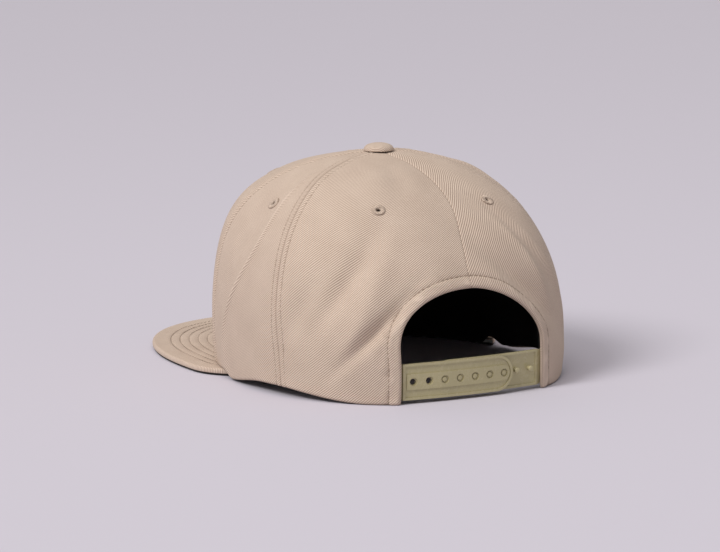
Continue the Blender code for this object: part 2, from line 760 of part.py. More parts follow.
def strap(name, outer):
    """One half of the snap strap, cut from a thick band, about its own living hinge."""
    way = 1.0 if outer else -1.0
    root_x = way * (HINGE_X - GAP / 2)
    tip_x = LAST_HOLE_X - TONGUE_OVERHANG if outer else FIRST_PEG_X + TONGUE_OVERHANG
    half = STRAP_HEIGHT / 2
    base = STRAP_THICKNESS / 2 if outer else STRAP_THICKNESS / 2 - STRAP_BEAD
    face = base + STRAP_BEAD
    hinge = Vector((way * HINGE_X, strap_line(way * HINGE_X, outer), STRAP_MIDDLE))
    to_hinge = Matrix.Translation((-hinge.x, -hinge.y, 0.0))
    band = strap_band(name, root_x, tip_x, outer, -STRAP_THICKNESS / 2, face)
    made = [add_part(name, band, MOULDED)]

    def tool(label, mesh):
        made.append(add_cutter(name + label, mesh))
        return made[-1]

    shape = tool("_shape", prism_through(name + "_shape", tongue_outline(root_x, tip_x, half)))
    rim = STRAP_BEAD_WIDTH
    past_root = way * (ARCH_HALF_WIDTH + THROUGH)
    inside = tongue_outline(past_root + way * THROUGH, tip_x + way * rim, half - rim)
    past_tip = tip_x + way * THROUGH
    recess_band = strap_band(name + "_recess", past_root, past_tip, outer, base, base + THROUGH)
    recess = tool("_recess", recess_band)
    boolean(recess, tool("_field", prism_through(name + "_field", inside)), "INTERSECT")
    stations = [LAST_HOLE_X + i * SNAP_PITCH for i in range(SNAP_COUNT)]
    if outer:
        plateau_tip = LAST_HOLE_X - PLATEAU_OVERHANG
        plateau_root = stations[-1] + PLATEAU_OVERHANG
        plateau = tongue_outline(plateau_root, plateau_tip, PLATEAU_HEIGHT / 2)
        boolean(recess, tool("_plateau", prism_through(name + "_plateau", plateau)))
    boolean(made[0], shape, "INTERSECT")
    boolean(made[0], recess)
    if outer:
        holes = pegs_mesh(name + "_holes", stations, HOLE_RADIUS, -THROUGH, THROUGH, outer)
        boolean(made[0], tool("_holes", holes))
        bores = pegs_mesh(
            name + "_bores", stations, COUNTERBORE_RADIUS, face - COUNTERBORE_DEPTH, THROUGH, outer
        )
        boolean(made[0], tool("_bores", bores))
    else:
        stations = [FIRST_PEG_X - i * SNAP_PITCH for i in range(SNAP_COUNT)]
        top = STRAP_STEP + STRAP_THICKNESS / 2 + STRAP_BEAD
        foot, rounding = base - PEG_ROOT, PEG_RADIUS * PEG_ROUNDING
        pegs = pegs_mesh(name + "_pegs", stations, PEG_RADIUS, foot, top, outer, rounding)
        boolean(made[0], tool("_pegs", pegs), "UNION")
    for piece in made:
        piece.data.transform(to_hinge)
        lean(piece, hinge)
    smooth(made[0], 35.0)
    return made[0]


def strap_tab(name, way):
    """The strap's flat root, sewn between the facing and the sweatband."""

    def place(u, v):
        x = HINGE_X + STRAP_TAB_START + STRAP_TAB_LENGTH * (1.0 - u)
        bearing = bearing_at_x(x, STRAP_MIDDLE, TAB_MIDDLE_DEPTH)
        low = share_at_height(bearing, STRAP_RISE)
        high = share_at_height(bearing, STRAP_RISE + STRAP_HEIGHT)
        return bearing, low + (high - low) * v

    def mirrored(u, v):
        bearing, share = place(1.0 - u, v)
        return 2 * math.pi - bearing, share

    return mapped_sheet(name, place if way > 0 else mirrored, 4, 3, TAB_DEPTH, STRAP_TAB, MOULDED)


strap("snap_strap_outer", True)
strap("snap_strap_inner", False)
strap_tab("snap_strap_outer_tab", 1)
strap_tab("snap_strap_inner_tab", -1)


# ---------------------------------------------------------------- stand it over the origin
def reach_along_y():
    """Lowest and highest Y of the finished pieces."""
    bpy.context.view_layer.update()
    graph = bpy.context.evaluated_depsgraph_get()
    low, high = math.inf, -math.inf
    for piece in parts.objects:
        if piece.type != "MESH":
            continue
        shown = piece.evaluated_get(graph)
        ys = [(shown.matrix_world @ corner.co).y for corner in shown.data.vertices]
        low, high = min(low, *ys), max(high, *ys)
    return low, high


lowest, highest = reach_along_y()
datum.location = (0.0, -(lowest + highest) / 2, 0.0)
bpy.context.view_layer.update()
for name in ("snap_strap_outer", "snap_strap_inner"):
    here = bpy.data.objects[name].matrix_world
    print(name, "hinge at", [round(c, 5) for c in here.translation])
    print(name, "hinge along", [round(c, 5) for c in here.to_3x3() @ Vector((0.0, 0.0, 1.0))])
print("datum", [round(c, 5) for c in datum.location])
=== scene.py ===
# %% [markdown]
# # A six-panel cap with a snap strap
# The cap's solids are already packed as a fixed frame: six panels, a visor, tapes, a button,
# eyelets and a two-part strap. This lesson builds the cloth, thread and moulded plastic that one
# sees, in the same metres and the same place as those solids. The visor points to -Y, the strap
# is at +Y, and +X is the wearer's left.

import bmesh
import bpy
import math
import numpy as np
from mathutils import Matrix, Vector


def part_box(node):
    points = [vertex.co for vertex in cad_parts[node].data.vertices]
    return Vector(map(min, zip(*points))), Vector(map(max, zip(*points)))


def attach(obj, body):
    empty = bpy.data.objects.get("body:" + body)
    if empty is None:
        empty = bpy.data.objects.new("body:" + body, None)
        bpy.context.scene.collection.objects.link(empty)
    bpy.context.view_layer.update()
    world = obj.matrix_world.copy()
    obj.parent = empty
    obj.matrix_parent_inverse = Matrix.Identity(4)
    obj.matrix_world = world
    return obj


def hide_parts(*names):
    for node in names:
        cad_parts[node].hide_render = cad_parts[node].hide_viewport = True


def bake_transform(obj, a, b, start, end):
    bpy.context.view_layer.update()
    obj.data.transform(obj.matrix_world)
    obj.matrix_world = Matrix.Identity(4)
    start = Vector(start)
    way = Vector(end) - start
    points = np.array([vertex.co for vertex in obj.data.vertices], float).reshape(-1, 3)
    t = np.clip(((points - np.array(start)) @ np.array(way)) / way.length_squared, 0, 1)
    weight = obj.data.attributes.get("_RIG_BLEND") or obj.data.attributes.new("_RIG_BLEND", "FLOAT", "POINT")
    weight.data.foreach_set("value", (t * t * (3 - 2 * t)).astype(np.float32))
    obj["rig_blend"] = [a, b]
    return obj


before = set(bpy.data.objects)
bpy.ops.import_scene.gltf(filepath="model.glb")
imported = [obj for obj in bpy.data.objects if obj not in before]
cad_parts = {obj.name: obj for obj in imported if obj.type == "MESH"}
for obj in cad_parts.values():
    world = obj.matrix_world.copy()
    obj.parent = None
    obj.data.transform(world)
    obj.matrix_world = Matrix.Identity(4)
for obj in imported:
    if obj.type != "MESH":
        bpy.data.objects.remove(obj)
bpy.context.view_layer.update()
button_low, button_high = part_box("top_button_cover")
AXIS = (button_low + button_high) / 2  # the crown is worked out about the button's axis
print("crown axis at", [round(c, 5) for c in AXIS[:2]])

# %% [markdown]
# The driving sizes below are the real cap's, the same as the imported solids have. The crown is a
# surface about the button's axis. A *bearing* is an angle about that axis (0 at the front, 90
# degrees at the wearer's left, 180 at the back), and a *share* is how far up the cloth one is,
# from 0 at the hem to 1 at the button.

# %% Sizes, in metres and degrees
HALF_WIDTH, HALF_LENGTH, SET_BACK = 0.088, 0.101, 0.0075
CROWN_HEIGHT, RIM_SQUARENESS = 0.1187, 2.2
FLARE, FLARE_HEIGHT = 0.017, 0.04
FRONT_OUTLINE, SIDE_OUTLINE, BACK_OUTLINE = (1.5, 6.3), (2.2, 3.3), (1.66, 2.55)
SIDE_LIFT, VISOR_END_LIFT, HEM_OVER_VISOR = 0.005, 0.0008, 0.004
HEM_STEP_SPAN, HEM_RISE, HEM_FALL = 8.0, (6.0, 108.0), (114.0, 148.0)
FRONT_SEAM, REAR_SEAM_RIM, REAR_SEAM_TOP = 64.0, 117.0, 108.5
TWILL, BUCKRAM, TAPE, SWEATBAND = 0.0011, 0.0008, 0.0005, 0.001
FACING_DEPTH, TAB_DEPTH, BUCKRAM_DEPTH = 0.0015, 0.0024, 0.0015
FRONT_TAPE_DEPTH, SWEATBAND_DEPTH = 0.0027, 0.004
TAPE_WIDTH, TAPE_TOP_RADIUS, SWEATBAND_HEIGHT, HEM_CLEARANCE = 0.016, 0.008, 0.032, 0.001
TOP_HOLE = 0.003
ARCH_HALF_WIDTH, ARCH_SIDE_HEIGHT, ARCH_HEIGHT, ARCH_ROUNDNESS = 0.043, 0.028, 0.0583, 2.2
ARCH_SLUMPED_ROUNDNESS = 1.65  # at the wearer's right, where the cloth has sagged
FACING_WIDTH = 0.009
VISOR_HALF_WIDTH, VISOR_WIDEST_Y, VISOR_TIP_Y = 0.0935, -0.045, -0.1675
VISOR_ROUNDNESS, VISOR_EAR, VISOR_ALLOWANCE = 2.35, 0.045, 0.004
EYELET_RADIUS, EYELET_FROM_BUTTON = 0.0038, 0.072
EYELET_BEARINGS = {"front": 27.5, "side": 93.0, "back": 150.5}
TOPSTITCH_OFFSET = 0.0034  # from a seam to the row of stitches beside it
ARCH_BAND = 0.0068  # from the arch's edge to its row of stitches
MM = 0.001

# %% The crown's outline, as a table that is read smoothly
BEARINGS = np.radians(np.arange(0.0, 360.25, 0.5))
SHARES = np.linspace(0.0, 1.0, 501)


def smoothstep(value, low, high):
    share = np.clip((value - low) / (high - low), 0.0, 1.0)
    return share * share * (3.0 - 2.0 * share)


def rim_reach(bearing):
    """Distance from the button's axis to the rim, for an array of bearings, by halving."""
    across, along = np.sin(bearing), -np.cos(bearing)
    low, high = np.zeros_like(across), np.full_like(across, HALF_WIDTH + HALF_LENGTH)
    for _ in range(40):
        reach = (low + high) / 2
        x = np.abs(reach * across) / HALF_WIDTH
        y = np.abs(reach * along - SET_BACK) / HALF_LENGTH
        outside = x**RIM_SQUARENESS + y**RIM_SQUARENESS > 1.0
        high, low = np.where(outside, reach, high), np.where(outside, low, reach)
    return reach


def visor_edge(turn):
    """Points of the visor's outer edge; turn is 0 at the wearer's left and pi at the right."""
    across, ahead = np.cos(turn), np.sin(turn)
    length = np.where(ahead >= 0, VISOR_WIDEST_Y - VISOR_TIP_Y, VISOR_EAR)
    power = 2 / VISOR_ROUNDNESS
    x = VISOR_HALF_WIDTH * np.copysign(np.abs(across) ** power, across)
    y = VISOR_WIDEST_Y - length * np.copysign(np.abs(ahead) ** power, ahead)
    return x, y


def visor_end_bearing():
    """Where the visor's edge runs in under the crown, in degrees."""
    x, y = visor_edge(np.linspace(-math.pi / 2, 0.0, 401))
    bearing = np.arctan2(x, -y)
    inside = np.hypot(x, y) > rim_reach(bearing) - VISOR_ALLOWANCE
    return float(np.degrees(bearing[np.argmax(inside)]))


VISOR_END = visor_end_bearing()


def hem_height(bearing):
    """The hem rests on the visor, dips at its ends, arches at the sides and meets the floor."""
    turn = np.abs((np.degrees(bearing) + 180.0) % 360.0 - 180.0)
    off_visor = smoothstep(turn, VISOR_END, VISOR_END + HEM_STEP_SPAN)
    side = smoothstep(turn, VISOR_END + HEM_RISE[0], HEM_RISE[1])
    down = 1.0 - smoothstep(turn, *HEM_FALL)
    lift = VISOR_END_LIFT * (1.0 - side) + SIDE_LIFT * side
    return HEM_OVER_VISOR * (1.0 - off_visor) + lift * off_visor * down


def outline_table():
    """Radius and height over bearing and share, and each outline's length."""
    radii, heights, lengths = [], [], []
    reach, hem = rim_reach(BEARINGS), hem_height(BEARINGS)
    sweep = np.linspace(0.0, 1.0, 900) ** 2 * math.pi / 2
    for i, bearing in enumerate(BEARINGS):
        other = np.array(FRONT_OUTLINE if math.cos(bearing) > 0 else BACK_OUTLINE)
        side = np.array(SIDE_OUTLINE)
        across, up = side + (other - side) * math.cos(bearing) ** 2
        radius = reach[i] * np.cos(sweep).clip(0.0) ** (2 / across)
        height = hem[i] + (CROWN_HEIGHT - hem[i]) * np.sin(sweep) ** (2 / up)
        flare = np.clip(height / FLARE_HEIGHT, 0.0, 1.0)
        radius = radius * (1.0 + FLARE * flare * (2.0 - flare))
        along = np.concatenate([[0], np.cumsum(np.hypot(np.diff(radius), np.diff(height)))])
        radii.append(np.interp(SHARES, along / along[-1], radius))
        heights.append(np.interp(SHARES, along / along[-1], height))
        lengths.append(along[-1])
    return np.array(radii), np.array(heights), np.array(lengths)


def round_table():
    """How far round the crown each place is from the front, at a steady share."""
    across, along = RADII * np.sin(BEARINGS)[:, None], RADII * np.cos(BEARINGS)[:, None]
    step = np.diff(np.stack([across, along, HEIGHTS], axis=-1), axis=0)
    return np.concatenate([np.zeros((1, len(SHARES))), np.linalg.norm(step, axis=-1).cumsum(axis=0)])


RADII, HEIGHTS, LENGTHS = outline_table()
ROUND = round_table()
print("visor ends at bearing", round(VISOR_END, 2), "outline at the back", round(LENGTHS[360], 4))

# %% [markdown]
# Every piece of cloth is placed by one function, which gives the point at a bearing, a share and
# a depth inwards. The outward direction comes from two small steps, one round the crown and one
# up it. All of it works on whole arrays at once, so a dense piece of cloth costs no more to
# write than a coarse one.


# %% Points on the crown
def look_up(table, bearing, share):
    """The table's value between its entries, in proportion to the four nearest."""
    b = (np.degrees(bearing) % 360.0) / 0.5
    s = np.clip(share, 0.0, 1.0) * (len(SHARES) - 1)
    i, j = np.minimum(b.astype(int), len(BEARINGS) - 2), np.minimum(s.astype(int), len(SHARES) - 2)
    fb, fs = b - i, s - j
    low = table[i, j] * (1 - fb) + table[i + 1, j] * fb
    high = table[i, j + 1] * (1 - fb) + table[i + 1, j + 1] * fb
    return low * (1 - fs) + high * fs


def round_at(bearing, share):
    """Length of cloth round the crown, from the front to a bearing, whole turns included."""
    share = np.broadcast_to(share, np.shape(bearing))
    turns = np.floor(np.degrees(bearing) / 360.0)
    return look_up(ROUND, bearing, share) + turns * look_up(ROUND[-1:].repeat(721, 0), bearing, share)


def length_at(bearing):
    return np.interp(np.degrees(bearing) % 360.0, np.degrees(BEARINGS), LENGTHS)


def face_point(bearing, share):
    reach = look_up(RADII, bearing, share)
    return np.stack(
        [
            AXIS.x + reach * np.sin(bearing),
            AXIS.y - reach * np.cos(bearing),
            look_up(HEIGHTS, bearing, share),
        ],
        axis=-1,
    )


def outward(bearing, share):
    nudge = 0.006
    east = face_point(bearing + nudge, share) - face_point(bearing - nudge, share)
    north = face_point(bearing, np.minimum(share + nudge, 1.0)) - face_point(
        bearing, np.maximum(share - nudge, 0.0)
    )
    normal = np.cross(east, north)
    return normal / np.linalg.norm(normal, axis=-1, keepdims=True)


def crown_point(bearing, share, depth):
    """Points on the crown, that far in from its outer face."""
    bearing, share = np.broadcast_arrays(np.asarray(bearing, float), np.asarray(share, float))
    depth = np.broadcast_to(np.asarray(depth, float), bearing.shape)
    return face_point(bearing, share) - outward(bearing, share) * depth[..., None]


def share_at_height(bearing, height):
    """Share of the outline at a height, for arrays of bearings and heights."""
    bearing, height = np.broadcast_arrays(np.asarray(bearing, float), np.asarray(height, float))
    low, high = np.zeros_like(height), np.ones_like(height)
    for _ in range(30):
        middle = (low + high) / 2
        above = look_up(HEIGHTS, bearing, middle) > height
        high, low = np.where(above, middle, high), np.where(above, low, middle)
    return middle


def bearing_at_x(x, height, depth=0.0):
    """The bearing at the back where the crown passes x at that height, by halving."""
    x, height = np.broadcast_arrays(np.asarray(x, float), np.asarray(height, float))
    low, high = np.full(x.shape, math.radians(110.0)), np.full(x.shape, math.radians(250.0))
    for _ in range(30):
        middle = (low + high) / 2
        short = crown_point(middle, share_at_height(middle, height), depth)[..., 0] > x
        low, high = np.where(short, middle, low), np.where(short, high, middle)
    return middle


# %% [markdown]
# The six seams meet at the button. The seam behind each ear leans forwards as it climbs. The
# centre-back seam is never sewn quite straight on a stiff wool twill: above the arch it drifts to
# one side and comes back at the button, so it is drawn with that drift.


# %% Where the seams run
def rear_seam(share):
    return np.radians(REAR_SEAM_RIM + (REAR_SEAM_TOP - REAR_SEAM_RIM) * share)


BACK_DRIFT = math.radians(10.0)


def back_seam(share):
    return math.pi + BACK_DRIFT * smoothstep(share, 0.34, 0.78) * (1 - smoothstep(share, 0.86, 1.0))


SEAMS = {
    "front": lambda share: 0.0 * share,
    "front_left": lambda share: math.radians(FRONT_SEAM) + 0.0 * share,
    "rear_left": rear_seam,
    "back": back_seam,
    "rear_right": lambda share: 2 * math.pi - rear_seam(share),
    "front_right": lambda share: math.radians(360 - FRONT_SEAM) + 0.0 * share,
    "front_again": lambda share: 2 * math.pi + 0.0 * share,
}
TOPSTITCHED = ("front", "front_left", "rear_left", "rear_right", "front_right")


def seam_distance(seam, bearing, share):
    """Signed distance round the crown from a seam, in metres."""
    turn = (bearing - SEAMS[seam](share) + math.pi) % (2 * math.pi) - math.pi
    return turn * look_up(RADII, bearing, share)

# %% [markdown]
# Worn cloth is never a clean mathematical surface. Two kinds of shape are laid over the outline.
# *Sway* is slow: shallow dents, the soft folds that hang below the rear eyelets, and the sharp
# crease that packing leaves down each side. It moves every layer together. *Relief* belongs to
# the outer face only: the furrow at a seam, the puffed allowance beside it, the groove under a
# row of stitches and the small puckers along it.


# %% Sway, shared by all layers
def soft_field(u, v, wavelength, seed, stretch=1.0):
    """A smooth random field of about unit height, the same each time: a sum of plane waves."""
    random = np.random.default_rng(seed)
    total = np.zeros(np.broadcast(u, v).shape)
    waves = 14
    for _ in range(waves):
        turn, phase = random.uniform(0, 2 * math.pi, 2)
        number = 2 * math.pi / (wavelength * random.uniform(0.7, 1.5))
        total += np.sin(number * (u * math.cos(turn) + v * math.sin(turn) / stretch) + phase)
    return total / math.sqrt(waves / 2)


def bump_at(value, centre, width):
    return np.exp(-(((value - centre) / width) ** 2))


PACKING_CREASE = 1.1 * MM
SWAY_ENDS = (0.108, 0.1165)  # heights between which the sway dies out below the button
# Soft folds at the back: bearing, height, half-widths across and up in metres, depth, and lean
# in degrees for each 30 mm of height.
FOLDS = (
    (140.0, 0.062, 0.0080, 0.023, -4.0 * MM, 11.0),
    (124.0, 0.045, 0.0075, 0.024, -2.0 * MM, 9.0),
    (146.0, 0.046, 0.0065, 0.028, 2.2 * MM, 7.0),
    (149.0, 0.037, 0.0052, 0.019, -4.0 * MM, 16.0),
    (200.5, 0.058, 0.0095, 0.022, -5.2 * MM, -15.5),
    (208.0, 0.064, 0.0035, 0.026, 1.4 * MM, -6.0),
    (214.0, 0.062, 0.0050, 0.024, -1.0 * MM, -8.0),
    (219.0, 0.062, 0.0040, 0.024, 1.2 * MM, -9.0),
)


def crease_bearing(height):
    return 76.0 + 25.0 * smoothstep(height, 0.005, 0.095)


def sway(bearing, share):
    """How far out the cloth stands from the plain outline, for every layer."""
    degrees = np.degrees(bearing) % 360.0
    height = look_up(HEIGHTS, bearing, share)
    reach = look_up(RADII, bearing, share)
    total = 0.00028 * soft_field(bearing * 0.09, share * 0.16, 0.034, 3, 1.8)
    for side, amount in ((degrees, 1.0), (360.0 - degrees, 0.6)):
        off = np.radians(side - crease_bearing(height)) * reach
        shown = smoothstep(height, 0.012, 0.05) * (1 - smoothstep(height, *SWAY_ENDS))
        edge = 0.5 * bump_at(off, 0.0, 0.0016) + 0.5 * bump_at(off, 0.0, 0.006)
        total = total + amount * PACKING_CREASE * edge * shown
        short = bump_at(height, 0.062, 0.012)
        total = total + amount * 0.35 * MM * np.exp(-np.abs(off + 0.012) / 0.003) * short
    for centre, middle, across, up, amount, lean in FOLDS:
        off = np.radians(degrees - centre - lean * (height - middle) / 0.03) * reach
        total = total + amount * bump_at(off, 0.0, across) * bump_at(height, middle, up)
    return total * smoothstep(height, 0.003, 0.016) * (1 - smoothstep(height, *SWAY_ENDS))


def cloth_point(bearing, share, depth):
    """A point of a layer of the crown, with its sway."""
    bearing, share = np.broadcast_arrays(np.asarray(bearing, float), np.asarray(share, float))
    return crown_point(bearing, share, depth - sway(bearing, share))


# %% Relief, for the outer face
# These relief values also tint the twill finish: painted shade in the furrows and a painted highlight on the
# highest ridges.
def seam_relief(bearing, share):
    """The furrow, the allowance and the stitch groove of every seam."""
    total = np.zeros(np.broadcast(bearing, share).shape)
    along = share * 0.16
    for seed, seam in enumerate(TOPSTITCHED):
        off = np.abs(seam_distance(seam, bearing, share))
        total -= 0.42 * MM * bump_at(off, 0.0, 0.0006)
        total += 0.26 * MM * bump_at(off, 0.0018, 0.0011)
        total -= 0.36 * MM * bump_at(off, TOPSTITCH_OFFSET, 0.0005)
        pucker = soft_field(along, bearing * 0.05, 0.006, 40 + seed, 3.0)
        total += 0.07 * MM * pucker * bump_at(off, 0.003, 0.003)
    return total - 0.3 * MM * bump_at(seam_distance("back", bearing, share), 0.0, 0.0005)


def crease_ridge_highlight(bearing, share):
    """The packing crease stands proud, and the finish paints a highlight along its ridge."""
    degrees, height = np.degrees(bearing) % 360.0, look_up(HEIGHTS, bearing, share)
    reach = look_up(RADII, bearing, share)
    shown = smoothstep(height, 0.012, 0.05) * (1 - smoothstep(height, 0.1, 0.112))
    total = 0.0
    for side, amount in ((degrees, 1.0), (360.0 - degrees, 0.6)):
        off = np.radians(side - crease_bearing(height)) * reach
        total = total + amount * 0.55 * MM * bump_at(off, 0.0, 0.0011) * shown
    return total


def hem_relief(share, length):
    rise = share * length
    return -0.5 * MM * (1 - smoothstep(rise, 0.0, 0.0011))


def arch_relief(distance, along):
    """The rolled edge of the arch, its puffed band and the groove of its stitches."""
    pucker = soft_field(along, distance, 0.007, 61)
    band = smoothstep(distance, 0.0005, 0.002) * (1 - smoothstep(distance, 0.005, ARCH_BAND))
    total = -0.55 * MM * (1 - smoothstep(distance, 0.0, 0.0012))
    total += (0.32 + 0.08 * pucker) * MM * band
    total -= 0.38 * MM * bump_at(distance, ARCH_BAND, 0.00075)
    total += 0.12 * MM * pucker * bump_at(distance, ARCH_BAND + 0.002, 0.003)
    return total


# %% [markdown]
# A panel is one closed shell: an outer face, an inner face, and a rim that joins them wherever
# the cloth ends, also round an eyelet's hole. One function makes the shell from two grids of
# points and a mask of the cells to keep. It stores the flat place of each point as a UV map in
# metres, so that a weave keeps its scale, and the relief as an attribute, so that the finish can
# paint shade into a furrow and a highlight onto a ridge.

# %% A closed shell from two grids
shown_triangles = {}


def add_mesh(name, mesh, finish):
    piece = bpy.data.objects.new(name, mesh)
    bpy.context.scene.collection.objects.link(piece)
    if finish is not None:
        mesh.materials.append(finish)
    mesh.shade_smooth()
    return piece


def volume_of(points, faces):
    a, b, c = points[faces[:, 0]], points[faces[:, 1]], points[faces[:, 2]]
    d = points[faces[:, 3]]
    return float((a * np.cross(b, c)).sum() + (a * np.cross(c, d)).sum()) / 6


def shell(name, outer, inner, flat, finish, keep=None, relief=None, turned=False):
    """outer and inner are grids of points, flat the cloth's own coordinates, keep the cells."""
    rows, columns = outer.shape[:2]
    index = np.arange(rows * columns).reshape(rows, columns)
    if turned:  # the last column is the first again, and the first row is the pole
        index[:, -1], index[0] = index[:, 0], index[0, 0]
    cells = np.stack(
        [index[:-1, :-1], index[:-1, 1:], index[1:, 1:], index[1:, :-1]], axis=-1
    ).reshape(-1, 4)
    if keep is not None:
        cells = cells[keep.reshape(-1)]
    points = np.concatenate([outer.reshape(-1, 3), inner.reshape(-1, 3)])
    count = rows * columns
    sides = np.concatenate([cells[:, [i, (i + 1) % 4]] for i in range(4)])
    keys = {(a, b) for a, b in sides.tolist()}
    rim = sorted((b, a, a + count, b + count) for a, b in keys if a != b and (b, a) not in keys)
    rim = np.array(rim)
    faces = np.concatenate([cells, cells[:, ::-1] + count, rim])
    if volume_of(points, faces) < 0:
        faces = faces[:, ::-1]
    used, faces = np.unique(faces, return_inverse=True)
    faces = faces.reshape(-1, 4)
    mesh = bpy.data.meshes.new(name)
    corners = [list(dict.fromkeys(face)) for face in faces.tolist()]
    mesh.from_pydata(points[used].tolist(), [], corners)
    layer = mesh.uv_layers.new(name="cloth")
    both = np.concatenate([flat.reshape(-1, 2)] * 2)[used]
    order = [corner for face in corners for corner in face]
    layer.data.foreach_set("uv", both[order].astype(np.float32).reshape(-1))
    height = np.zeros(len(used), np.float32)
    if relief is not None:
        height = np.concatenate([relief.reshape(-1), np.zeros(count)])[used] / MM
    attribute = mesh.attributes.new("relief_mm", "FLOAT", "POINT")
    attribute.data.foreach_set("value", height.astype(np.float32))
    piece = add_mesh(name, mesh, finish)
    shown_triangles[name] = 2 * len(faces)
    a, b, c, d = (flat.reshape(-1, 2)[cells[:, i]] for i in range(4))
    across, up = c - a, d - b
    piece["flat_area"] = float(np.abs(across[:, 0] * up[:, 1] - across[:, 1] * up[:, 0]).sum() / 2)
    spread = flat.reshape(-1, 2)[np.unique(cells)]
    piece["flat_size"] = [float(x) for x in spread.max(axis=0) - spread.min(axis=0)]
    return piece


def declare_cloth(piece, rests_on=(), strip=None):
    """Says how large the piece of cloth was cut: a strip, or its own flat coordinates."""
    width, length = strip or piece["flat_size"]
    area = width * length if strip else min(piece["flat_area"], width * length)
    print(f"{piece.name}: cut {width * 1000:.0f} x {length * 1000:.0f} mm, {area * 1e4:.0f} cm2")


# %% [markdown]
# Rows and columns are packed close where the cloth turns fast, beside a seam, a hem or the arch,
# and spread out in between. This helper gives such a set of stations between two edges.

# %% Stations that crowd at the edges
SEAM_STEPS = np.array([0, 0.3, 0.6, 0.95, 1.4, 1.9, 2.5, 3.0, 3.4, 3.8, 4.4, 5.4, 6.8]) * MM
HEM_STEPS = np.array([0, 0.25, 0.55, 0.9, 1.3, 2.0, 3.2]) * MM
ARCH_STEPS = (
    np.array([0, 0.2, 0.45, 0.75, 1.1, 1.6, 2.4, 3.4, 4.6, 5.6, 6.2, 6.8, 7.4, 8.0, 9.0]) * MM
)


def stations(width, first, last, count):
    """Places from 0 to width, for an array of widths: crowded steps, count even ones, steps."""
    width = np.asarray(width, float)[..., None]
    squeeze = np.minimum(1.0, 0.46 * width / max(first[-1], last[-1]))
    low, high = first * squeeze, width - last[::-1] * squeeze
    between = np.linspace(0.0, 1.0, count + 2)[1:-1]
    middle = low[..., -1:] + (high[..., :1] - low[..., -1:]) * between
    return np.concatenate([low, middle, high], axis=-1)

# %% [markdown]
# ## Finishes
# A finish is a tree of shader nodes. Written node by node it is hard to read, so a small class
# wraps a socket and lets an ordinary Python expression add the Math nodes. Another gives one
# method for any other node.


# %% Shader sums as Python expressions
class Value:
    """A socket that takes part in sums."""

    def __init__(self, finish, socket):
        self.finish, self.socket = finish, socket

    def __add__(self, other):
        return self.finish.math("ADD", self, other)

    def __sub__(self, other):
        return self.finish.math("SUBTRACT", self, other)

    def __rsub__(self, other):
        return self.finish.math("SUBTRACT", other, self)

    def __mul__(self, other):
        return self.finish.math("MULTIPLY", self, other)

    def __truediv__(self, other):
        return self.finish.math("DIVIDE", self, other)

    def __pow__(self, other):
        return self.finish.math("POWER", self, other)

    __radd__, __rmul__ = __add__, __mul__


class Finish:
    """A material whose nodes are added by expressions."""

    def __init__(self, name, **constants):
        self.material = bpy.data.materials.new(name)
        self.material.use_nodes = True
        self.tree = self.material.node_tree
        self.shader = self.tree.nodes["Principled BSDF"]
        for socket, value in constants.items():
            self.shader.inputs[socket.replace("_", " ")].default_value = value

    def node(self, kind, settings=None, inputs=None, output=0):
        made = self.tree.nodes.new("ShaderNode" + kind)
        for name, value in (settings or {}).items():
            setattr(made, name, value)
        for name, value in (inputs or {}).items():
            self.feed(made.inputs[name], value)
        return Value(self, made.outputs[output])

    def feed(self, socket, value):
        if isinstance(value, Value):
            self.tree.links.new(value.socket, socket)
        elif isinstance(value, tuple) and len(value) == 3 and len(socket.default_value) == 4:
            socket.default_value = (*value, 1.0)
        else:
            socket.default_value = value

    def math(self, operation, *values):
        return self.node("Math", {"operation": operation}, dict(enumerate(values)))

    def blend(self, factor, first, second, kind="MIX"):
        settings = {"data_type": "RGBA", "blend_type": kind}
        return self.node("Mix", settings, {0: factor, 6: first, 7: second}, output=2)

    def noise(self, place, scale, detail=2.0, roughness=0.5):
        inputs = {"Vector": place, "Scale": scale, "Detail": detail, "Roughness": roughness}
        return self.node("TexNoise", None, inputs)

    def ramp(self, factor, low, high):
        """0 below low, 1 above high."""
        inputs = {"Value": factor, "From Min": low, "From Max": high}
        return self.node("MapRange", {"clamp": True}, inputs)

    def set(self, socket, value):
        self.feed(self.shader.inputs[socket], value)

    def bump(self, height, strength, distance):
        inputs = {"Height": height, "Strength": strength, "Distance": distance}
        self.set("Normal", self.node("Bump", None, inputs))


# %% [markdown]
# Twill is woven with each crosswise yarn going over two or more warp yarns and stepping one
# along in every row, which gives its slanting ribs. The pattern is made from the cloth's own
# flat coordinates: one wave across the ribs, and short yarn floats along each rib, shifted from
# rib to rib. A wool blend is also heathered, so that fine noise mixes paler and darker fibres,
# and it is brushed, which the sheen gives. Furrows get painted shade, ridges a painted highlight.

# %% Woven finishes
RIB_PITCH = 1.02 * MM
RIB_SLANT = math.radians(41.0)
FLOAT_LENGTH = 0.62 * MM


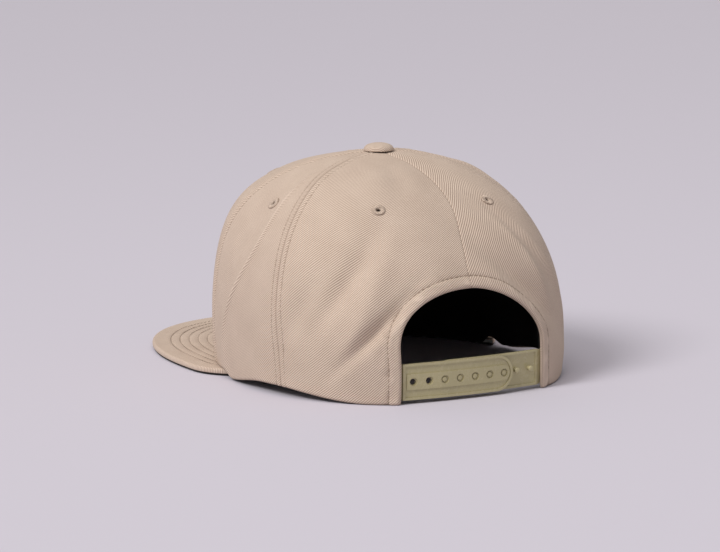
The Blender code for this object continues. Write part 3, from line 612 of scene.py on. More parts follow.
def twill_finish(name, dark, light, contrast=1.0, relief=True, pitch=RIB_PITCH):
    finish = Finish(
        name, Roughness=0.86, Specular_IOR_Level=0.22, Sheen_Weight=0.10, Sheen_Roughness=0.45
    )
    finish.shader.inputs["Sheen Tint"].default_value = (1.0, 0.93, 0.86, 1.0)
    flat = finish.node("UVMap", {"uv_map": "cloth"})
    split = finish.node("SeparateXYZ", None, {"Vector": flat})
    u, v = split, Value(finish, split.socket.node.outputs[1])
    wobble = finish.noise(flat, 260.0, 1.0)
    rib = u * (math.sin(RIB_SLANT) / pitch) - v * (math.cos(RIB_SLANT) / pitch) + wobble * 0.35
    wave = finish.math("SINE", rib * (2 * math.pi)) * 0.5 + 0.5
    shift = finish.math("FLOOR", rib) * 0.41
    run = u * (math.cos(RIB_SLANT) / FLOAT_LENGTH) + v * (math.sin(RIB_SLANT) / FLOAT_LENGTH)
    floats = finish.math("ABSOLUTE", finish.math("SINE", (run + shift) * math.pi))
    weave = wave * (floats * 0.3 + 0.7)
    fibres = finish.noise(flat, 2600.0, 2.0, 0.7)
    heather = finish.noise(flat, 900.0, 3.0, 0.6)
    patches = finish.noise(flat, 55.0, 2.0, 0.5)
    tone = weave * contrast + heather * 0.26 + fibres * 0.14 + patches * 0.26
    tone = finish.ramp(tone, 0.20, 0.34 + contrast)
    colour = finish.blend(tone, dark, light)
    if relief:
        height = finish.node("Attribute", {"attribute_name": "relief_mm"}, output=2)
        # Painted shade: the colour darkens where the relief sinks into a furrow. Painted highlight: it turns
        # paler where the relief stands up as a ridge.
        furrow = finish.ramp(height * -1.0, 0.12, 0.75)
        ridge_highlight = finish.ramp(height, 0.34, 0.60)
        shade = tuple(c * 0.72 for c in dark)
        colour = finish.blend(furrow * 0.7, colour, shade)
        colour = finish.blend(ridge_highlight * 0.42, colour, tuple(min(1.0, c * 1.12) for c in light))
    finish.set("Base Color", colour)
    finish.set("Roughness", 0.93 - tone * 0.1)
    finish.bump(weave + fibres * 0.3, 0.8, 0.00024)
    return finish.material


CLOTH_DARK, CLOTH_LIGHT = (0.34, 0.242, 0.186), (0.775, 0.645, 0.54)
twill = twill_finish("tan_wool_twill", CLOTH_DARK, CLOTH_LIGHT)
lining = twill_finish(
    "black_twill_lining", (0.006, 0.005, 0.005), (0.022, 0.019, 0.018), pitch=0.8 * MM
)


def plain_weave_finish(name, dark, light, pitch, strength, roughness=0.9):
    """Yarns that pass over and under one by one, as in tape, buckram and a sweatband."""
    finish = Finish(name, Roughness=roughness, Specular_IOR_Level=0.25, Sheen_Weight=0.1)
    flat = finish.node("UVMap", {"uv_map": "cloth"})
    split = finish.node("SeparateXYZ", None, {"Vector": flat})
    u, v = split, Value(finish, split.socket.node.outputs[1])
    along = finish.math("SINE", u * (2 * math.pi / pitch))
    up = finish.math("SINE", v * (2 * math.pi / pitch))
    weave = along * up * 0.5 + 0.5
    tone = finish.ramp(weave * 0.7 + finish.noise(flat, 1200.0, 3.0) * 0.5, 0.2, 1.0)
    finish.set("Base Color", finish.blend(tone, dark, light))
    finish.bump(weave, strength, 0.00015)
    return finish.material


BLACK_DARK, BLACK_LIGHT = (0.003, 0.0025, 0.0023), (0.013, 0.0105, 0.0095)
tape_weave = plain_weave_finish("black_tape", BLACK_DARK, BLACK_LIGHT, 0.7 * MM, 0.5)
buckram_weave = plain_weave_finish("black_buckram", BLACK_DARK, BLACK_LIGHT, 1.3 * MM, 0.9)
band_weave = plain_weave_finish("black_sweatband", BLACK_DARK, BLACK_LIGHT, 0.55 * MM, 0.4)


# %% [markdown]
# Sewing thread is a few plies twisted together, which shows as slanting lines round it. Its
# pattern reads the object's own coordinates, because the stitches have no flat cut of their own.


# %% Thread, moulded plastic and metal
def thread_finish(name, dark, light):
    finish = Finish(name, Roughness=0.62, Specular_IOR_Level=0.35, Sheen_Weight=0.15)
    place = finish.node("TexCoord", output=3)
    twist = {"Vector": place, "Scale": 900.0, "Distortion": 1.5, "Detail": 1.0}
    plies = finish.node("TexWave", {"bands_direction": "DIAGONAL"}, twist, output=1)
    tone = finish.ramp(plies * 0.6 + finish.noise(place, 1500.0) * 0.5, 0.15, 0.95)
    finish.set("Base Color", finish.blend(tone, dark, light))
    finish.bump(plies, 0.5, 0.0001)
    return finish.material


tan_thread = thread_finish("tan_thread", (0.22, 0.155, 0.11), (0.48, 0.37, 0.29))
eyelet_thread = thread_finish("eyelet_thread", (0.34, 0.25, 0.19), (0.74, 0.62, 0.52))
black_thread = thread_finish("black_thread", (0.008, 0.007, 0.007), (0.035, 0.03, 0.03))


def moulded_finish(name, colour, roughness):
    """Moulded plastic: a faintly pebbled skin, slight flow marks, and dust where it is rough."""
    finish = Finish(name, Specular_IOR_Level=0.5, Coat_Roughness=0.3)
    place = finish.node("TexCoord", output=3)
    pebbles = finish.noise(place, 2400.0, 2.0, 0.6)
    flow = finish.noise(place, 70.0, 3.0, 0.55)
    dust = finish.ramp(finish.noise(place, 420.0, 4.0, 0.7), 0.45, 0.8)
    pale = tuple(min(1.0, c * 1.05) for c in colour)
    deep = tuple(c * 0.95 for c in colour)
    tint = finish.blend(finish.ramp(flow, 0.3, 0.7), deep, pale)
    finish.set("Base Color", finish.blend(dust * 0.05, tint, (0.55, 0.52, 0.45)))
    finish.set("Roughness", roughness + dust * 0.12 + flow * 0.08)
    finish.bump(pebbles * 0.6 + flow * 0.4, 0.12, 0.00006)
    return finish.material


strap_plastic = moulded_finish("khaki_moulded_plastic", (0.455, 0.405, 0.235), 0.20)
board_plastic = moulded_finish("visor_board_plastic", (0.72, 0.72, 0.69), 0.5)


def steel_finish(name):
    finish = Finish(name, Metallic=1.0, Specular_IOR_Level=0.5)
    place = finish.node("TexCoord", output=3)
    marks = finish.noise(place, 1600.0, 3.0, 0.6)
    blotch = finish.noise(place, 300.0, 2.0, 0.5)
    finish.set("Base Color", finish.blend(blotch, (0.42, 0.42, 0.43), (0.66, 0.66, 0.68)))
    finish.set("Roughness", 0.28 + marks * 0.2)
    finish.bump(marks, 0.2, 0.00005)
    return finish.material


steel = steel_finish("pressed_steel")
print("finishes made:", len(bpy.data.materials))
# %% [markdown]
# ## Crown panels
# Six panels of twill meet at the button. The four at the front and sides run from seam to seam,
# so a plain grid fits them: columns run up the cloth and rows run round it. The cells round an
# eyelet's axis are left out, and the shell's own rim closes that hole.


# %% Front and side panels
def share_at_radius(bearing, radius):
    """Share at which the outline has come in to a radius near the button."""
    low, high = np.full(np.shape(bearing), 0.5), np.ones(np.shape(bearing))
    for _ in range(30):
        middle = (low + high) / 2
        inside = look_up(RADII, bearing, middle) < radius
        high, low = np.where(inside, middle, high), np.where(inside, low, middle)
    return middle


SEAM_OPENING = 0.03 * MM  # half the slit between two panels
EYELET_CUT = 1.9 * MM
EYELETS = {}
for zone, degrees in EYELET_BEARINGS.items():
    for side, turn in (("left", math.radians(degrees)), ("right", math.radians(360 - degrees))):
        eyelet_share = 1.0 - EYELET_FROM_BUTTON / float(length_at(turn))
        EYELETS[f"eyelet_{zone}_{side}"] = (turn, eyelet_share)


def seam_to_seam(start, end, across, up, low=0.0):
    """Bearings and shares of a grid between two seams, crowded at its edges."""
    middle = float(SEAMS[start](0.5) + SEAMS[end](0.5)) / 2
    length = float(length_at(middle))
    rise = stations(length * (1 - low), HEM_STEPS, np.zeros(1), up) / (length * (1 - low))
    base = low + (share_at_radius(np.array([middle]), TOP_HOLE)[0] - low) * rise
    reach = look_up(RADII, np.full(base.shape, middle), base)
    first, last = SEAMS[start](base), SEAMS[end](base)
    width = (last - first) * reach - 2 * SEAM_OPENING
    places = stations(width, SEAM_STEPS, SEAM_STEPS, across) + SEAM_OPENING
    bearing = first[:, None] + places / reach[:, None]
    share = np.broadcast_to(base[:, None], bearing.shape)
    return bearing, share, middle


def flat_cut(bearing, share, middle):
    """The cloth's own coordinates, in metres: round the crown, and up it."""
    across = round_at(bearing, share) - round_at(np.full(np.shape(bearing), middle), share)
    return np.stack([across, share * float(length_at(middle))], axis=-1)


def away_from_eyelets(bearing, share):
    """True for the cells that aren't in an eyelet's hole."""
    points = crown_point(bearing, share, 0.0)
    centres = (points[:-1, :-1] + points[1:, 1:]) / 2
    keep = np.ones(centres.shape[:2], bool)
    for turn, level in EYELETS.values():
        eye = crown_point(turn, level, 0.0)
        keep &= np.linalg.norm(centres - eye, axis=-1) > EYELET_CUT
    return keep


def crown_layer(name, grid, depth, thickness, finish, relief=None):
    bearing, share, middle = grid
    lift = 0.0 if relief is None else relief
    outer = cloth_point(bearing, share, depth - lift)
    inner = cloth_point(bearing, share, depth + thickness)
    flat = flat_cut(bearing, share, middle)
    return shell(name, outer, inner, flat, finish, away_from_eyelets(bearing, share), relief)


for name, start, end in (
    ("front_panel_left", "front", "front_left"),
    ("side_panel_left", "front_left", "rear_left"),
    ("side_panel_right", "rear_right", "front_right"),
    ("front_panel_right", "front_right", "front_again"),
):
    grid = seam_to_seam(start, end, 84, 130)
    relief = seam_relief(grid[0], grid[1]) + hem_relief(grid[1], length_at(grid[0]))
    # The packing crease also gets a painted highlight along its ridge.
    relief = relief + crease_ridge_highlight(grid[0], grid[1])
    piece = crown_layer(name + "_cloth", grid, 0.0, TWILL, twill, relief)
    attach(piece, "cap")
    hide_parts(name)
    declare_cloth(piece, rests_on=["visor_top_cover"] if "front" in name else ["sweatband"])

# %% [markdown]
# The two back panels are cut round the arch. A grid that runs straight up would meet the arch
# at a slant and leave a jagged edge, so this one is bent: its first side follows the arch's
# edge, and its far side the seam behind the ear. The places in between are a Coons patch, which
# is the sum of the two straight blends between opposite sides, less the blend of the corners.


# %% The arch's edge
def arch_line(margin, share, foot=0.0):
    """X and Z along the arch's outline, grown by a margin; share runs from +X foot to -X foot."""
    half, rise = ARCH_HALF_WIDTH + margin, ARCH_HEIGHT + margin - ARCH_SIDE_HEIGHT
    turn = np.linspace(0.0, math.pi, 400)
    power = 2 / np.where(turn <= math.pi / 2, ARCH_ROUNDNESS, ARCH_SLUMPED_ROUNDNESS)
    x = half * np.copysign(np.abs(np.cos(turn)) ** power, np.cos(turn))
    z = ARCH_SIDE_HEIGHT + rise * np.abs(np.sin(turn)) ** power
    x, z = np.concatenate([[half], x, [-half]]), np.concatenate([[foot], z, [foot]])
    along = np.concatenate([[0], np.cumsum(np.hypot(np.diff(x), np.diff(z)))])
    wanted = np.asarray(share) * along[-1]
    return np.interp(wanted, along, x), np.interp(wanted, along, z)


def on_crown(x, z, depth=0.0):
    """Bearing and share of the place at the back that lies at X and Z."""
    bearing = bearing_at_x(x, z, depth)
    return bearing, share_at_height(bearing, z)


EDGE_SHARES = np.linspace(0, 1, 4001)
ARCH_TOP = arch_line(0.0, EDGE_SHARES)[1].argmax()
ARCH_FOLD = float(EDGE_SHARES[ARCH_TOP])  # share of the edge at its top
ARCH_EDGE = crown_point(*on_crown(*arch_line(0.0, np.linspace(0, 1, 500))), 0.0)
ARCH_ALONG = np.concatenate([[0], np.cumsum(np.linalg.norm(np.diff(ARCH_EDGE, axis=0), axis=1))])


def from_arch(points):
    """Distance from the arch's edge, and how far along that edge, of a grid of points."""
    gaps = np.linalg.norm(points[..., None, :] - ARCH_EDGE, axis=-1)
    nearest = gaps.argmin(axis=-1)
    return gaps.min(axis=-1), ARCH_ALONG[nearest]


print("arch edge is", round(float(ARCH_ALONG[-1]) * 1000), "mm round")


# %% Back panels
def to_plane(bearing, share):
    """The crown's cloth laid out about the button, as X and Y."""
    reach = (1 - share) * length_at(bearing)
    return np.stack([reach * np.sin(bearing), reach * np.cos(bearing)], axis=-1)


def from_plane(place):
    bearing = np.arctan2(place[..., 0], place[..., 1]) % (2 * math.pi)
    return bearing, 1 - np.hypot(place[..., 0], place[..., 1]) / length_at(bearing)


def back_panel_grid(side, across=64, up=84):
    """Bearings and shares of a back panel; side is 1 for the wearer's left, -1 for the right."""
    seam = back_seam if side > 0 else lambda share: 2 * math.pi - back_seam(share)
    top_share = float(share_at_radius(np.array([math.pi]), TOP_HOLE)[0])
    arch_top = float(on_crown(0.0, ARCH_HEIGHT)[1])
    tip = to_plane(float(rear_seam(1.0) + math.pi) / 2, top_share)

    def arch_side(xi):
        half = ARCH_FOLD * xi if side > 0 else 1.0 - (1.0 - ARCH_FOLD) * xi
        bearing, share = on_crown(*arch_line(0.0, half))
        return to_plane(bearing if side > 0 else 2 * math.pi - bearing, share)

    def back_side(eta):
        share = arch_top + (top_share - arch_top) * eta
        place = to_plane(seam(share), share)
        return place + (tip - place) * smoothstep(share, 0.965, top_share)[..., None]

    def rear_side(xi):
        place = to_plane(rear_seam(xi * top_share), xi * top_share)
        return place + (tip - place) * smoothstep(xi, 0.965, 1.0)[..., None]

    def hem_side(eta):
        foot = float(on_crown(ARCH_HALF_WIDTH, 0.0)[0])
        return to_plane(foot + (rear_seam(0.0) - foot) * eta, 0.0 * eta)

    arch_length = float(ARCH_ALONG[-1]) * (ARCH_FOLD if side > 0 else 1.0 - ARCH_FOLD)
    xi = stations(arch_length, HEM_STEPS, SEAM_STEPS * 0.72, up) / arch_length
    width = np.linalg.norm(rear_side(xi) - arch_side(xi), axis=-1)
    eta = stations(width, ARCH_STEPS, SEAM_STEPS, across) / width[:, None]
    xi = np.broadcast_to(xi[:, None], eta.shape)
    a, c = arch_side(xi), rear_side(xi)
    b, d = back_side(eta), hem_side(eta)
    x, e = xi[..., None], eta[..., None]
    corners = (1 - x) * (1 - e) * a[:1, :1] + x * (1 - e) * b[:1, :1]
    corners = corners + (1 - x) * e * c[:1, :1] + x * e * tip
    place = (1 - e) * a + e * c + (1 - x) * d + x * b - corners
    bearing, share = from_plane(place)
    return (bearing, share) if side > 0 else (2 * math.pi - bearing, share)


for name, side in (("back_panel_left", 1), ("back_panel_right", -1)):
    bearing, share = back_panel_grid(side)
    share = np.clip(share, 0.0, 0.999)
    distance, along = from_arch(crown_point(bearing, share, 0.0))
    relief = seam_relief(bearing, share) + hem_relief(share, length_at(bearing))
    relief = np.maximum(relief + arch_relief(distance, along), -0.85 * MM)
    middle = math.radians(146.0) if side > 0 else math.radians(214.0)
    piece = crown_layer(name + "_cloth", (bearing, share, middle), 0.0, TWILL, twill, relief)
    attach(piece, "cap")
    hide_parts(name)
    declare_cloth(piece, rests_on=["sweatband"])

# %% [markdown]
# ## Linings
# Inside, the front panels are backed with buckram, an open stiffened weave that keeps them
# upright. Each seam is covered by a tape, the arch's raw edge by a facing of the crown's own
# cloth, and the hem by the sweatband. They follow the same outline at their own depths, so the
# layers never run through each other.


# %% Buckram, tapes, facing and sweatband
BACKING_LOW, TAPE_MOST_TURN = 0.012, math.radians(20.0)
STRAP_RISE, STRAP_HEIGHT = 0.0018, 0.0192
STRAP_MIDDLE = STRAP_RISE + STRAP_HEIGHT / 2


def lining_piece(name, grid, depth, thickness, finish, rests_on, strip=None):
    piece = crown_layer(name + "_cloth", grid, depth, thickness, finish)
    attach(piece, "cap")
    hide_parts(name)
    declare_cloth(piece, rests_on=rests_on, strip=strip)
    return piece


for side, start, end in (("left", "front", "front_left"), ("right", "front_right", "front_again")):
    grid = seam_to_seam(start, end, 34, 60, BACKING_LOW)
    lining_piece(
        "front_buckram_" + side, grid, BUCKRAM_DEPTH, BUCKRAM, buckram_weave,
        ["front_panel_" + side],
    )


def tape_grid(seam, low):
    rows = np.linspace(0.0, 1.0, 90)
    top = share_at_radius(np.array([float(SEAMS[seam](0.99))]), TAPE_TOP_RADIUS)[0]
    share = low + (top - low) * rows
    middle = SEAMS[seam](share) + 0.0 * share
    half = np.minimum(TAPE_WIDTH / 2 / look_up(RADII, middle, share), TAPE_MOST_TURN)
    bearing = middle[:, None] + half[:, None] * np.linspace(-1, 1, 9)
    return bearing, np.broadcast_to(share[:, None], bearing.shape), float(middle[0])


BACK_TAPE_LOW = float(on_crown(0.0, ARCH_HEIGHT + FACING_WIDTH + 0.002)[1])
TAPES = {
    "seam_tape_front": ("front", FRONT_TAPE_DEPTH, BACKING_LOW),
    "seam_tape_front_left": ("front_left", FRONT_TAPE_DEPTH, BACKING_LOW),
    "seam_tape_front_right": ("front_right", FRONT_TAPE_DEPTH, BACKING_LOW),
    "seam_tape_rear_left": ("rear_left", BUCKRAM_DEPTH, BACKING_LOW),
    "seam_tape_rear_right": ("rear_right", BUCKRAM_DEPTH, BACKING_LOW),
    "seam_tape_back": ("back", BUCKRAM_DEPTH, BACK_TAPE_LOW),
}
for name, (seam, depth, low) in TAPES.items():
    under = ["front_buckram_left"] if depth > BUCKRAM_DEPTH else ["back_panel_left"]
    grid = tape_grid(seam, low)
    line = crown_point(grid[0][:, 4], grid[1][:, 4], depth)
    cut = (TAPE_WIDTH, float(np.linalg.norm(np.diff(line, axis=0), axis=1).sum()))
    lining_piece(name, grid, depth, TAPE, tape_weave, under, cut)

margins = np.linspace(0.35 * MM, FACING_WIDTH, 12)
rows = [on_crown(*arch_line(m, np.linspace(0, 1, 150), HEM_CLEARANCE)) for m in margins]
bearing, share = np.stack([r[0] for r in rows]), np.stack([r[1] for r in rows])
facing_grid = (bearing, share, math.pi)
FACING_CUT = (FACING_WIDTH + 1.5 * MM, float(ARCH_ALONG[-1]) + 2 * FACING_WIDTH)  # with its turning
lining_piece(
    "arch_facing_tape", facing_grid, FACING_DEPTH, TAPE, twill,
    ["back_panel_left"], FACING_CUT,
)

band_end = float(bearing_at_x(ARCH_HALF_WIDTH + 0.003, STRAP_MIDDLE, SWEATBAND_DEPTH))
bearing = np.broadcast_to(np.linspace(-band_end, band_end, 260), (12, 260))
hem = hem_height(bearing)
rise = np.linspace(0.0, 1.0, 12)[:, None]
share = share_at_height(bearing, hem + HEM_CLEARANCE + (SWEATBAND_HEIGHT - HEM_CLEARANCE) * rise)
line = crown_point(bearing[6], share[6], SWEATBAND_DEPTH + SWEATBAND / 2)
BAND_CUT = (SWEATBAND_HEIGHT - HEM_CLEARANCE, float(np.linalg.norm(np.diff(line, axis=0), axis=1).sum()))


def band_face(depth):
    """A face of the sweatband. At the front its edge hangs down over the visor's inner edge."""
    points = cloth_point(bearing, share, depth)
    edge = points[:1].copy()
    turn = np.abs(np.degrees(bearing[:1]))
    over_visor = 1.0 - smoothstep(turn, VISOR_END - 6.0, VISOR_END - 1.0)
    edge[..., 2] -= (edge[..., 2] - 0.6 * MM) * over_visor + 0.05 * MM
    return np.concatenate([edge, points])


flat = flat_cut(bearing, share, 0.0)
flat = np.concatenate([flat[:1] - [0.0, HEM_OVER_VISOR], flat])
band_depth = SWEATBAND_DEPTH + 0.35 * MM
band = shell(
    "sweatband_cloth", band_face(band_depth), band_face(band_depth + SWEATBAND), flat, band_weave
)
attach(band, "cap")
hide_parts("sweatband")
declare_cloth(band, rests_on=["front_panel_left", "front_panel_right"], strip=BAND_CUT)

# %% [markdown]
# ## Visor
# A visor is a moulded board between two covers. The top cover is the crown's twill; it is drawn
# tight over the edge and turned under it, and rows of stitches run round it at equal steps,
# parallel to the edge. Each row pulls a groove into the cloth. The grid runs from the outer edge
# straight in to the crown's rim, and the groove depth comes from the true distance to the edge.


# %% The visor in plan
VISOR_UNDER, VISOR_BOARD, VISOR_TOP = 0.0006, 0.0018, 0.0007
BOARD_LOW = VISOR_UNDER + 0.0003
TOP_CLOTH_LOW = BOARD_LOW + VISOR_BOARD + 0.0003
VISOR_FACE = TOP_CLOTH_LOW + VISOR_TOP
FIRST_ROW, ROW_STEP = 0.0102, 0.0051
VISOR_ROWS = FIRST_ROW + ROW_STEP * np.arange(9)  # rows of stitches, in from the edge


def visor_curves(count):
    """The outer edge and the crown's rim, each with count points, and both from +X to -X."""
    x, y = visor_edge(np.linspace(-0.8, math.pi + 0.8, 4000))
    turn = np.arctan2(x, -y)
    outside = np.hypot(x, y) > rim_reach(turn) - VISOR_ALLOWANCE
    x, y = x[outside], y[outside]
    along = np.concatenate([[0], np.cumsum(np.hypot(np.diff(x), np.diff(y)))])
    wanted = np.linspace(0.004, 0.996, count) * along[-1]
    edge = np.stack([np.interp(wanted, along, x), np.interp(wanted, along, y)], axis=-1)
    first, last = math.atan2(x[0], -y[0]), math.atan2(x[-1], -y[-1])
    bearing = first + (last - first) * np.linspace(0.004, 0.996, count)
    reach = rim_reach(bearing) - VISOR_ALLOWANCE
    rim = np.stack([reach * np.sin(bearing), -reach * np.cos(bearing)], axis=-1)
    shift = np.array([AXIS.x, AXIS.y])
    return edge + shift, rim + shift


EDGE, RIM = visor_curves(300)
FINE_EDGE = visor_curves(1500)[0]
ACROSS_VISOR = np.linalg.norm(RIM - EDGE, axis=-1)
print("visor is", round(float(ACROSS_VISOR.max()) * 1000, 1), "mm deep at the middle")


def from_visor_edge(place):
    """Distance to the visor's edge in plan, a block of points at a time."""
    flat = place.reshape(-1, 2)
    found = [
        np.linalg.norm(block[:, None] - FINE_EDGE, axis=-1).min(axis=1)
        for block in np.array_split(flat, 40)
    ]
    return np.concatenate(found).reshape(place.shape[:-1])


def visor_place(inset):
    """Points that far in from the edge on the way to the rim; inset has one row for each step."""
    way = (RIM - EDGE) / ACROSS_VISOR[:, None]
    return EDGE + way * inset[..., None]


def visor_grid(edge_inset, inner_row):
    """Insets: some absolute ones at the edge, then even steps to the rim."""
    fixed = np.array(edge_inset)[:, None] * np.minimum(1.0, ACROSS_VISOR / 0.006)
    even = np.linspace(0.0, 1.0, inner_row + 1)[1:, None]
    start = fixed[-1]
    return np.concatenate([fixed, start + (ACROSS_VISOR - start) * even])


# %% Top cover, drawn over the edge
TOP_OUTER = ((0.30, 1.00), (0.10, 1.25), (0.0, 1.8), (0.06, 2.5), (0.3, 3.1), (0.8, 3.52), (1.6, 3.7))
TOP_INNER = ((0.86, 1.00), (0.78, 1.25), (0.7, 1.8), (0.72, 2.4), (0.8, 2.85), (1.1, 3.0), (1.6, 3.0))
INNER_ROWS = 118


def visor_relief(place):
    """Grooves under the rows of stitches, a soft roll between them, and a little unevenness."""
    distance = from_visor_edge(place)
    total = 0.06 * MM * soft_field(place[..., 0], place[..., 1], 0.03, 77)
    for row in VISOR_ROWS:
        total = total - 0.26 * MM * bump_at(distance, row, 0.00075)
    between = 0.5 - 0.5 * np.cos((distance - VISOR_ROWS[0]) / ROW_STEP * 2 * math.pi)
    inside = smoothstep(distance, 0.007, FIRST_ROW)
    return total + 0.10 * MM * between * inside, distance


def visor_sheet(name, outer_edge, inner_edge, face_z, back_z, finish, relief_sign):
    outer_inset = visor_grid([d * MM for d, _ in outer_edge], INNER_ROWS)
    inner_inset = visor_grid([d * MM for d, _ in inner_edge], INNER_ROWS)
    outer_place, inner_place = visor_place(outer_inset), visor_place(inner_inset)
    relief, distance = visor_relief(outer_place)
    fade = smoothstep(distance, 0.0016, 0.004)
    rise = np.full(outer_inset.shape, face_z)
    drop = np.full(inner_inset.shape, back_z)
    for i, (_, z) in enumerate(outer_edge):
        rise[i] = z * MM
    for i, (_, z) in enumerate(inner_edge):
        drop[i] = z * MM
    rise = rise + relief * fade * relief_sign
    outer = np.concatenate([outer_place, rise[..., None]], axis=-1)
    inner = np.concatenate([inner_place, drop[..., None]], axis=-1)
    flat = outer_place - np.array([AXIS.x, AXIS.y])
    return shell(name, outer, inner, flat, finish, relief=relief * fade)


top_cover = visor_sheet(
    "visor_top_cover_cloth", TOP_OUTER, TOP_INNER, VISOR_FACE, TOP_CLOTH_LOW, twill, 1
)
UNDER_OUTER = ((0.75, 0.6), (0.7, 0.35), (0.85, 0.1), (1.3, 0.0), (2.0, 0.0))
UNDER_INNER = ((0.80, 0.84), (1.0, 0.84), (1.2, 0.8), (1.6, 0.62), (2.0, 0.6))
under_cover = visor_sheet(
    "visor_under_cover_cloth", UNDER_OUTER, UNDER_INNER, 0.0002, VISOR_UNDER, lining, -1
)
for piece, slot, below in (
    (top_cover, "twill_cloth", "visor_board"),
    (under_cover, "dark_cloth", "visor_board"),
):
    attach(piece, "cap")
    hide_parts(piece.name.replace("_cloth", ""))
    declare_cloth(piece, rests_on=[below])

# %% [markdown]
# ## Button
# The button is a round of cloth gathered over a steel shell, so small folds run down from its
# top and deepen towards its edge. A grid turned about the axis, with folds from a few waves of
# uneven spacing, gives that.


# %% Button cover
BUTTON_RADIUS, BUTTON_HEIGHT, BUTTON_CLOTH = 0.0083, 0.0040, 0.0008
BUTTON_SQUARENESS = 2.3  # 2 is a plain ellipse, more is flatter on top
BUTTON_FOLD, BUTTON_STEPS = 0.14 * MM, 34
BUTTON_SEAT = CROWN_HEIGHT + 0.0003


def button_outline(radius, height, steps):
    turn = np.linspace(math.pi / 2, 0.0, steps)
    power = 2 / BUTTON_SQUARENESS
    return radius * np.cos(turn).clip(0) ** power, height * np.sin(turn).clip(0) ** power


turns = np.linspace(0, 2 * math.pi, 145)
folds = 0.5 * np.sin(9 * turns + 0.7) + 0.35 * np.sin(14 * turns + 2.1) + 0.2 * np.sin(5 * turns)


def button_layer(radius, height, fold):
    reach, rise = button_outline(radius, height, BUTTON_STEPS)
    depth = smoothstep(reach / radius, 0.35, 1.0)[:, None] * fold
    reach = reach[:, None] + depth * 0.8
    rise = rise[:, None] + depth * 0.35 * (rise[:, None] > 0)
    around = [AXIS.x + reach * np.sin(turns), AXIS.y - reach * np.cos(turns)]
    return np.stack([*around, BUTTON_SEAT + rise + 0 * reach], axis=-1)


outer = button_layer(BUTTON_RADIUS - 0.12 * MM, BUTTON_HEIGHT, BUTTON_FOLD * folds)
inner = button_layer(BUTTON_RADIUS - BUTTON_CLOTH, BUTTON_HEIGHT - BUTTON_CLOTH, 0.0 * folds)
reach, rise = button_outline(BUTTON_RADIUS, BUTTON_HEIGHT, BUTTON_STEPS)
slant = np.concatenate([[0], np.cumsum(np.hypot(np.diff(reach), np.diff(rise)))])
flat = np.stack(
    [slant[:, None] * np.sin(turns), slant[:, None] * np.cos(turns)], axis=-1
)
relief = smoothstep(reach, 0.003, 0.008)[:, None] * 0.14 * MM * folds
button_cover = shell("top_button_cover_cloth", outer, inner, flat, twill, relief=relief, turned=True)
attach(button_cover, "cap")
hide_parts("top_button_cover")

# %% [markdown]
# ## Stitches
# A row of stitches is one short thread repeated along a line, which is what Geometry Nodes are
# for. The tree takes a line of edges, resamples it at the stitch's pitch, puts a small rounded
# thread at each point along the line's tangent and flat on the cloth, and makes them real. The
# same tree with other sizes winds the satin threads of an eyelet.


# %% One tree for every row of stitches
def stitch_tree():
    tree = bpy.data.node_groups.new("row_of_stitches", "GeometryNodeTree")
    face = tree.interface
    face.new_socket("Geometry", in_out="INPUT", socket_type="NodeSocketGeometry")
    for name in ("Pitch", "Along", "Across", "High", "Unevenness"):
        face.new_socket(name, in_out="INPUT", socket_type="NodeSocketFloat")
    face.new_socket("Thread", in_out="INPUT", socket_type="NodeSocketMaterial")
    face.new_socket("Geometry", in_out="OUTPUT", socket_type="NodeSocketGeometry")

    def node(kind, **settings):
        made = tree.nodes.new(kind)
        for name, value in settings.items():
            setattr(made, name, value)
        return made

    def link(source, target):
        tree.links.new(source, target)

    given, result = node("NodeGroupInput"), node("NodeGroupOutput")
    line = node("GeometryNodeMeshToCurve")
    spaced = node("GeometryNodeResampleCurve", mode="LENGTH")
    tangent = node("GeometryNodeInputTangent")
    up = node("GeometryNodeInputNamedAttribute", data_type="FLOAT_VECTOR")
    up.inputs["Name"].default_value = "cloth_up"
    turn = node("FunctionNodeAxesToRotation", primary_axis="X", secondary_axis="Z")
    thread = node("GeometryNodeMeshUVSphere")
    thread.inputs["Segments"].default_value = 8
    thread.inputs["Rings"].default_value = 5
    thread.inputs["Radius"].default_value = 0.5
    size = node("ShaderNodeCombineXYZ")
    uneven = node("FunctionNodeRandomValue", data_type="FLOAT")
    uneven.inputs["Seed"].default_value = 11
    least = node("ShaderNodeMath", operation="SUBTRACT")
    least.inputs[0].default_value = 1.0
    scaled = node("ShaderNodeVectorMath", operation="SCALE")
    placed = node("GeometryNodeInstanceOnPoints")
    real = node("GeometryNodeRealizeInstances")
    soft = node("GeometryNodeSetShadeSmooth")
    finish = node("GeometryNodeSetMaterial")
    link(given.outputs["Geometry"], line.inputs["Mesh"])
    link(line.outputs["Curve"], spaced.inputs["Curve"])
    link(given.outputs["Pitch"], spaced.inputs["Length"])
    link(spaced.outputs["Curve"], placed.inputs["Points"])
    link(thread.outputs["Mesh"], placed.inputs["Instance"])
    link(tangent.outputs["Tangent"], turn.inputs["Primary Axis"])
    link(up.outputs["Attribute"], turn.inputs["Secondary Axis"])
    link(turn.outputs["Rotation"], placed.inputs["Rotation"])
    for name, axis in (("Along", "X"), ("Across", "Y"), ("High", "Z")):
        link(given.outputs[name], size.inputs[axis])
    link(given.outputs["Unevenness"], least.inputs[1])
    link(least.outputs[0], uneven.inputs[2])
    link(size.outputs["Vector"], scaled.inputs[0])
    link(uneven.outputs[1], scaled.inputs["Scale"])
    link(scaled.outputs["Vector"], placed.inputs["Scale"])
    link(placed.outputs["Instances"], real.inputs["Geometry"])
    link(real.outputs["Geometry"], soft.inputs["Geometry"])
    link(soft.outputs["Geometry"], finish.inputs["Geometry"])
    link(given.outputs["Thread"], finish.inputs["Material"])
    link(finish.outputs["Geometry"], result.inputs["Geometry"])
    return tree


STITCH_TREE = stitch_tree()


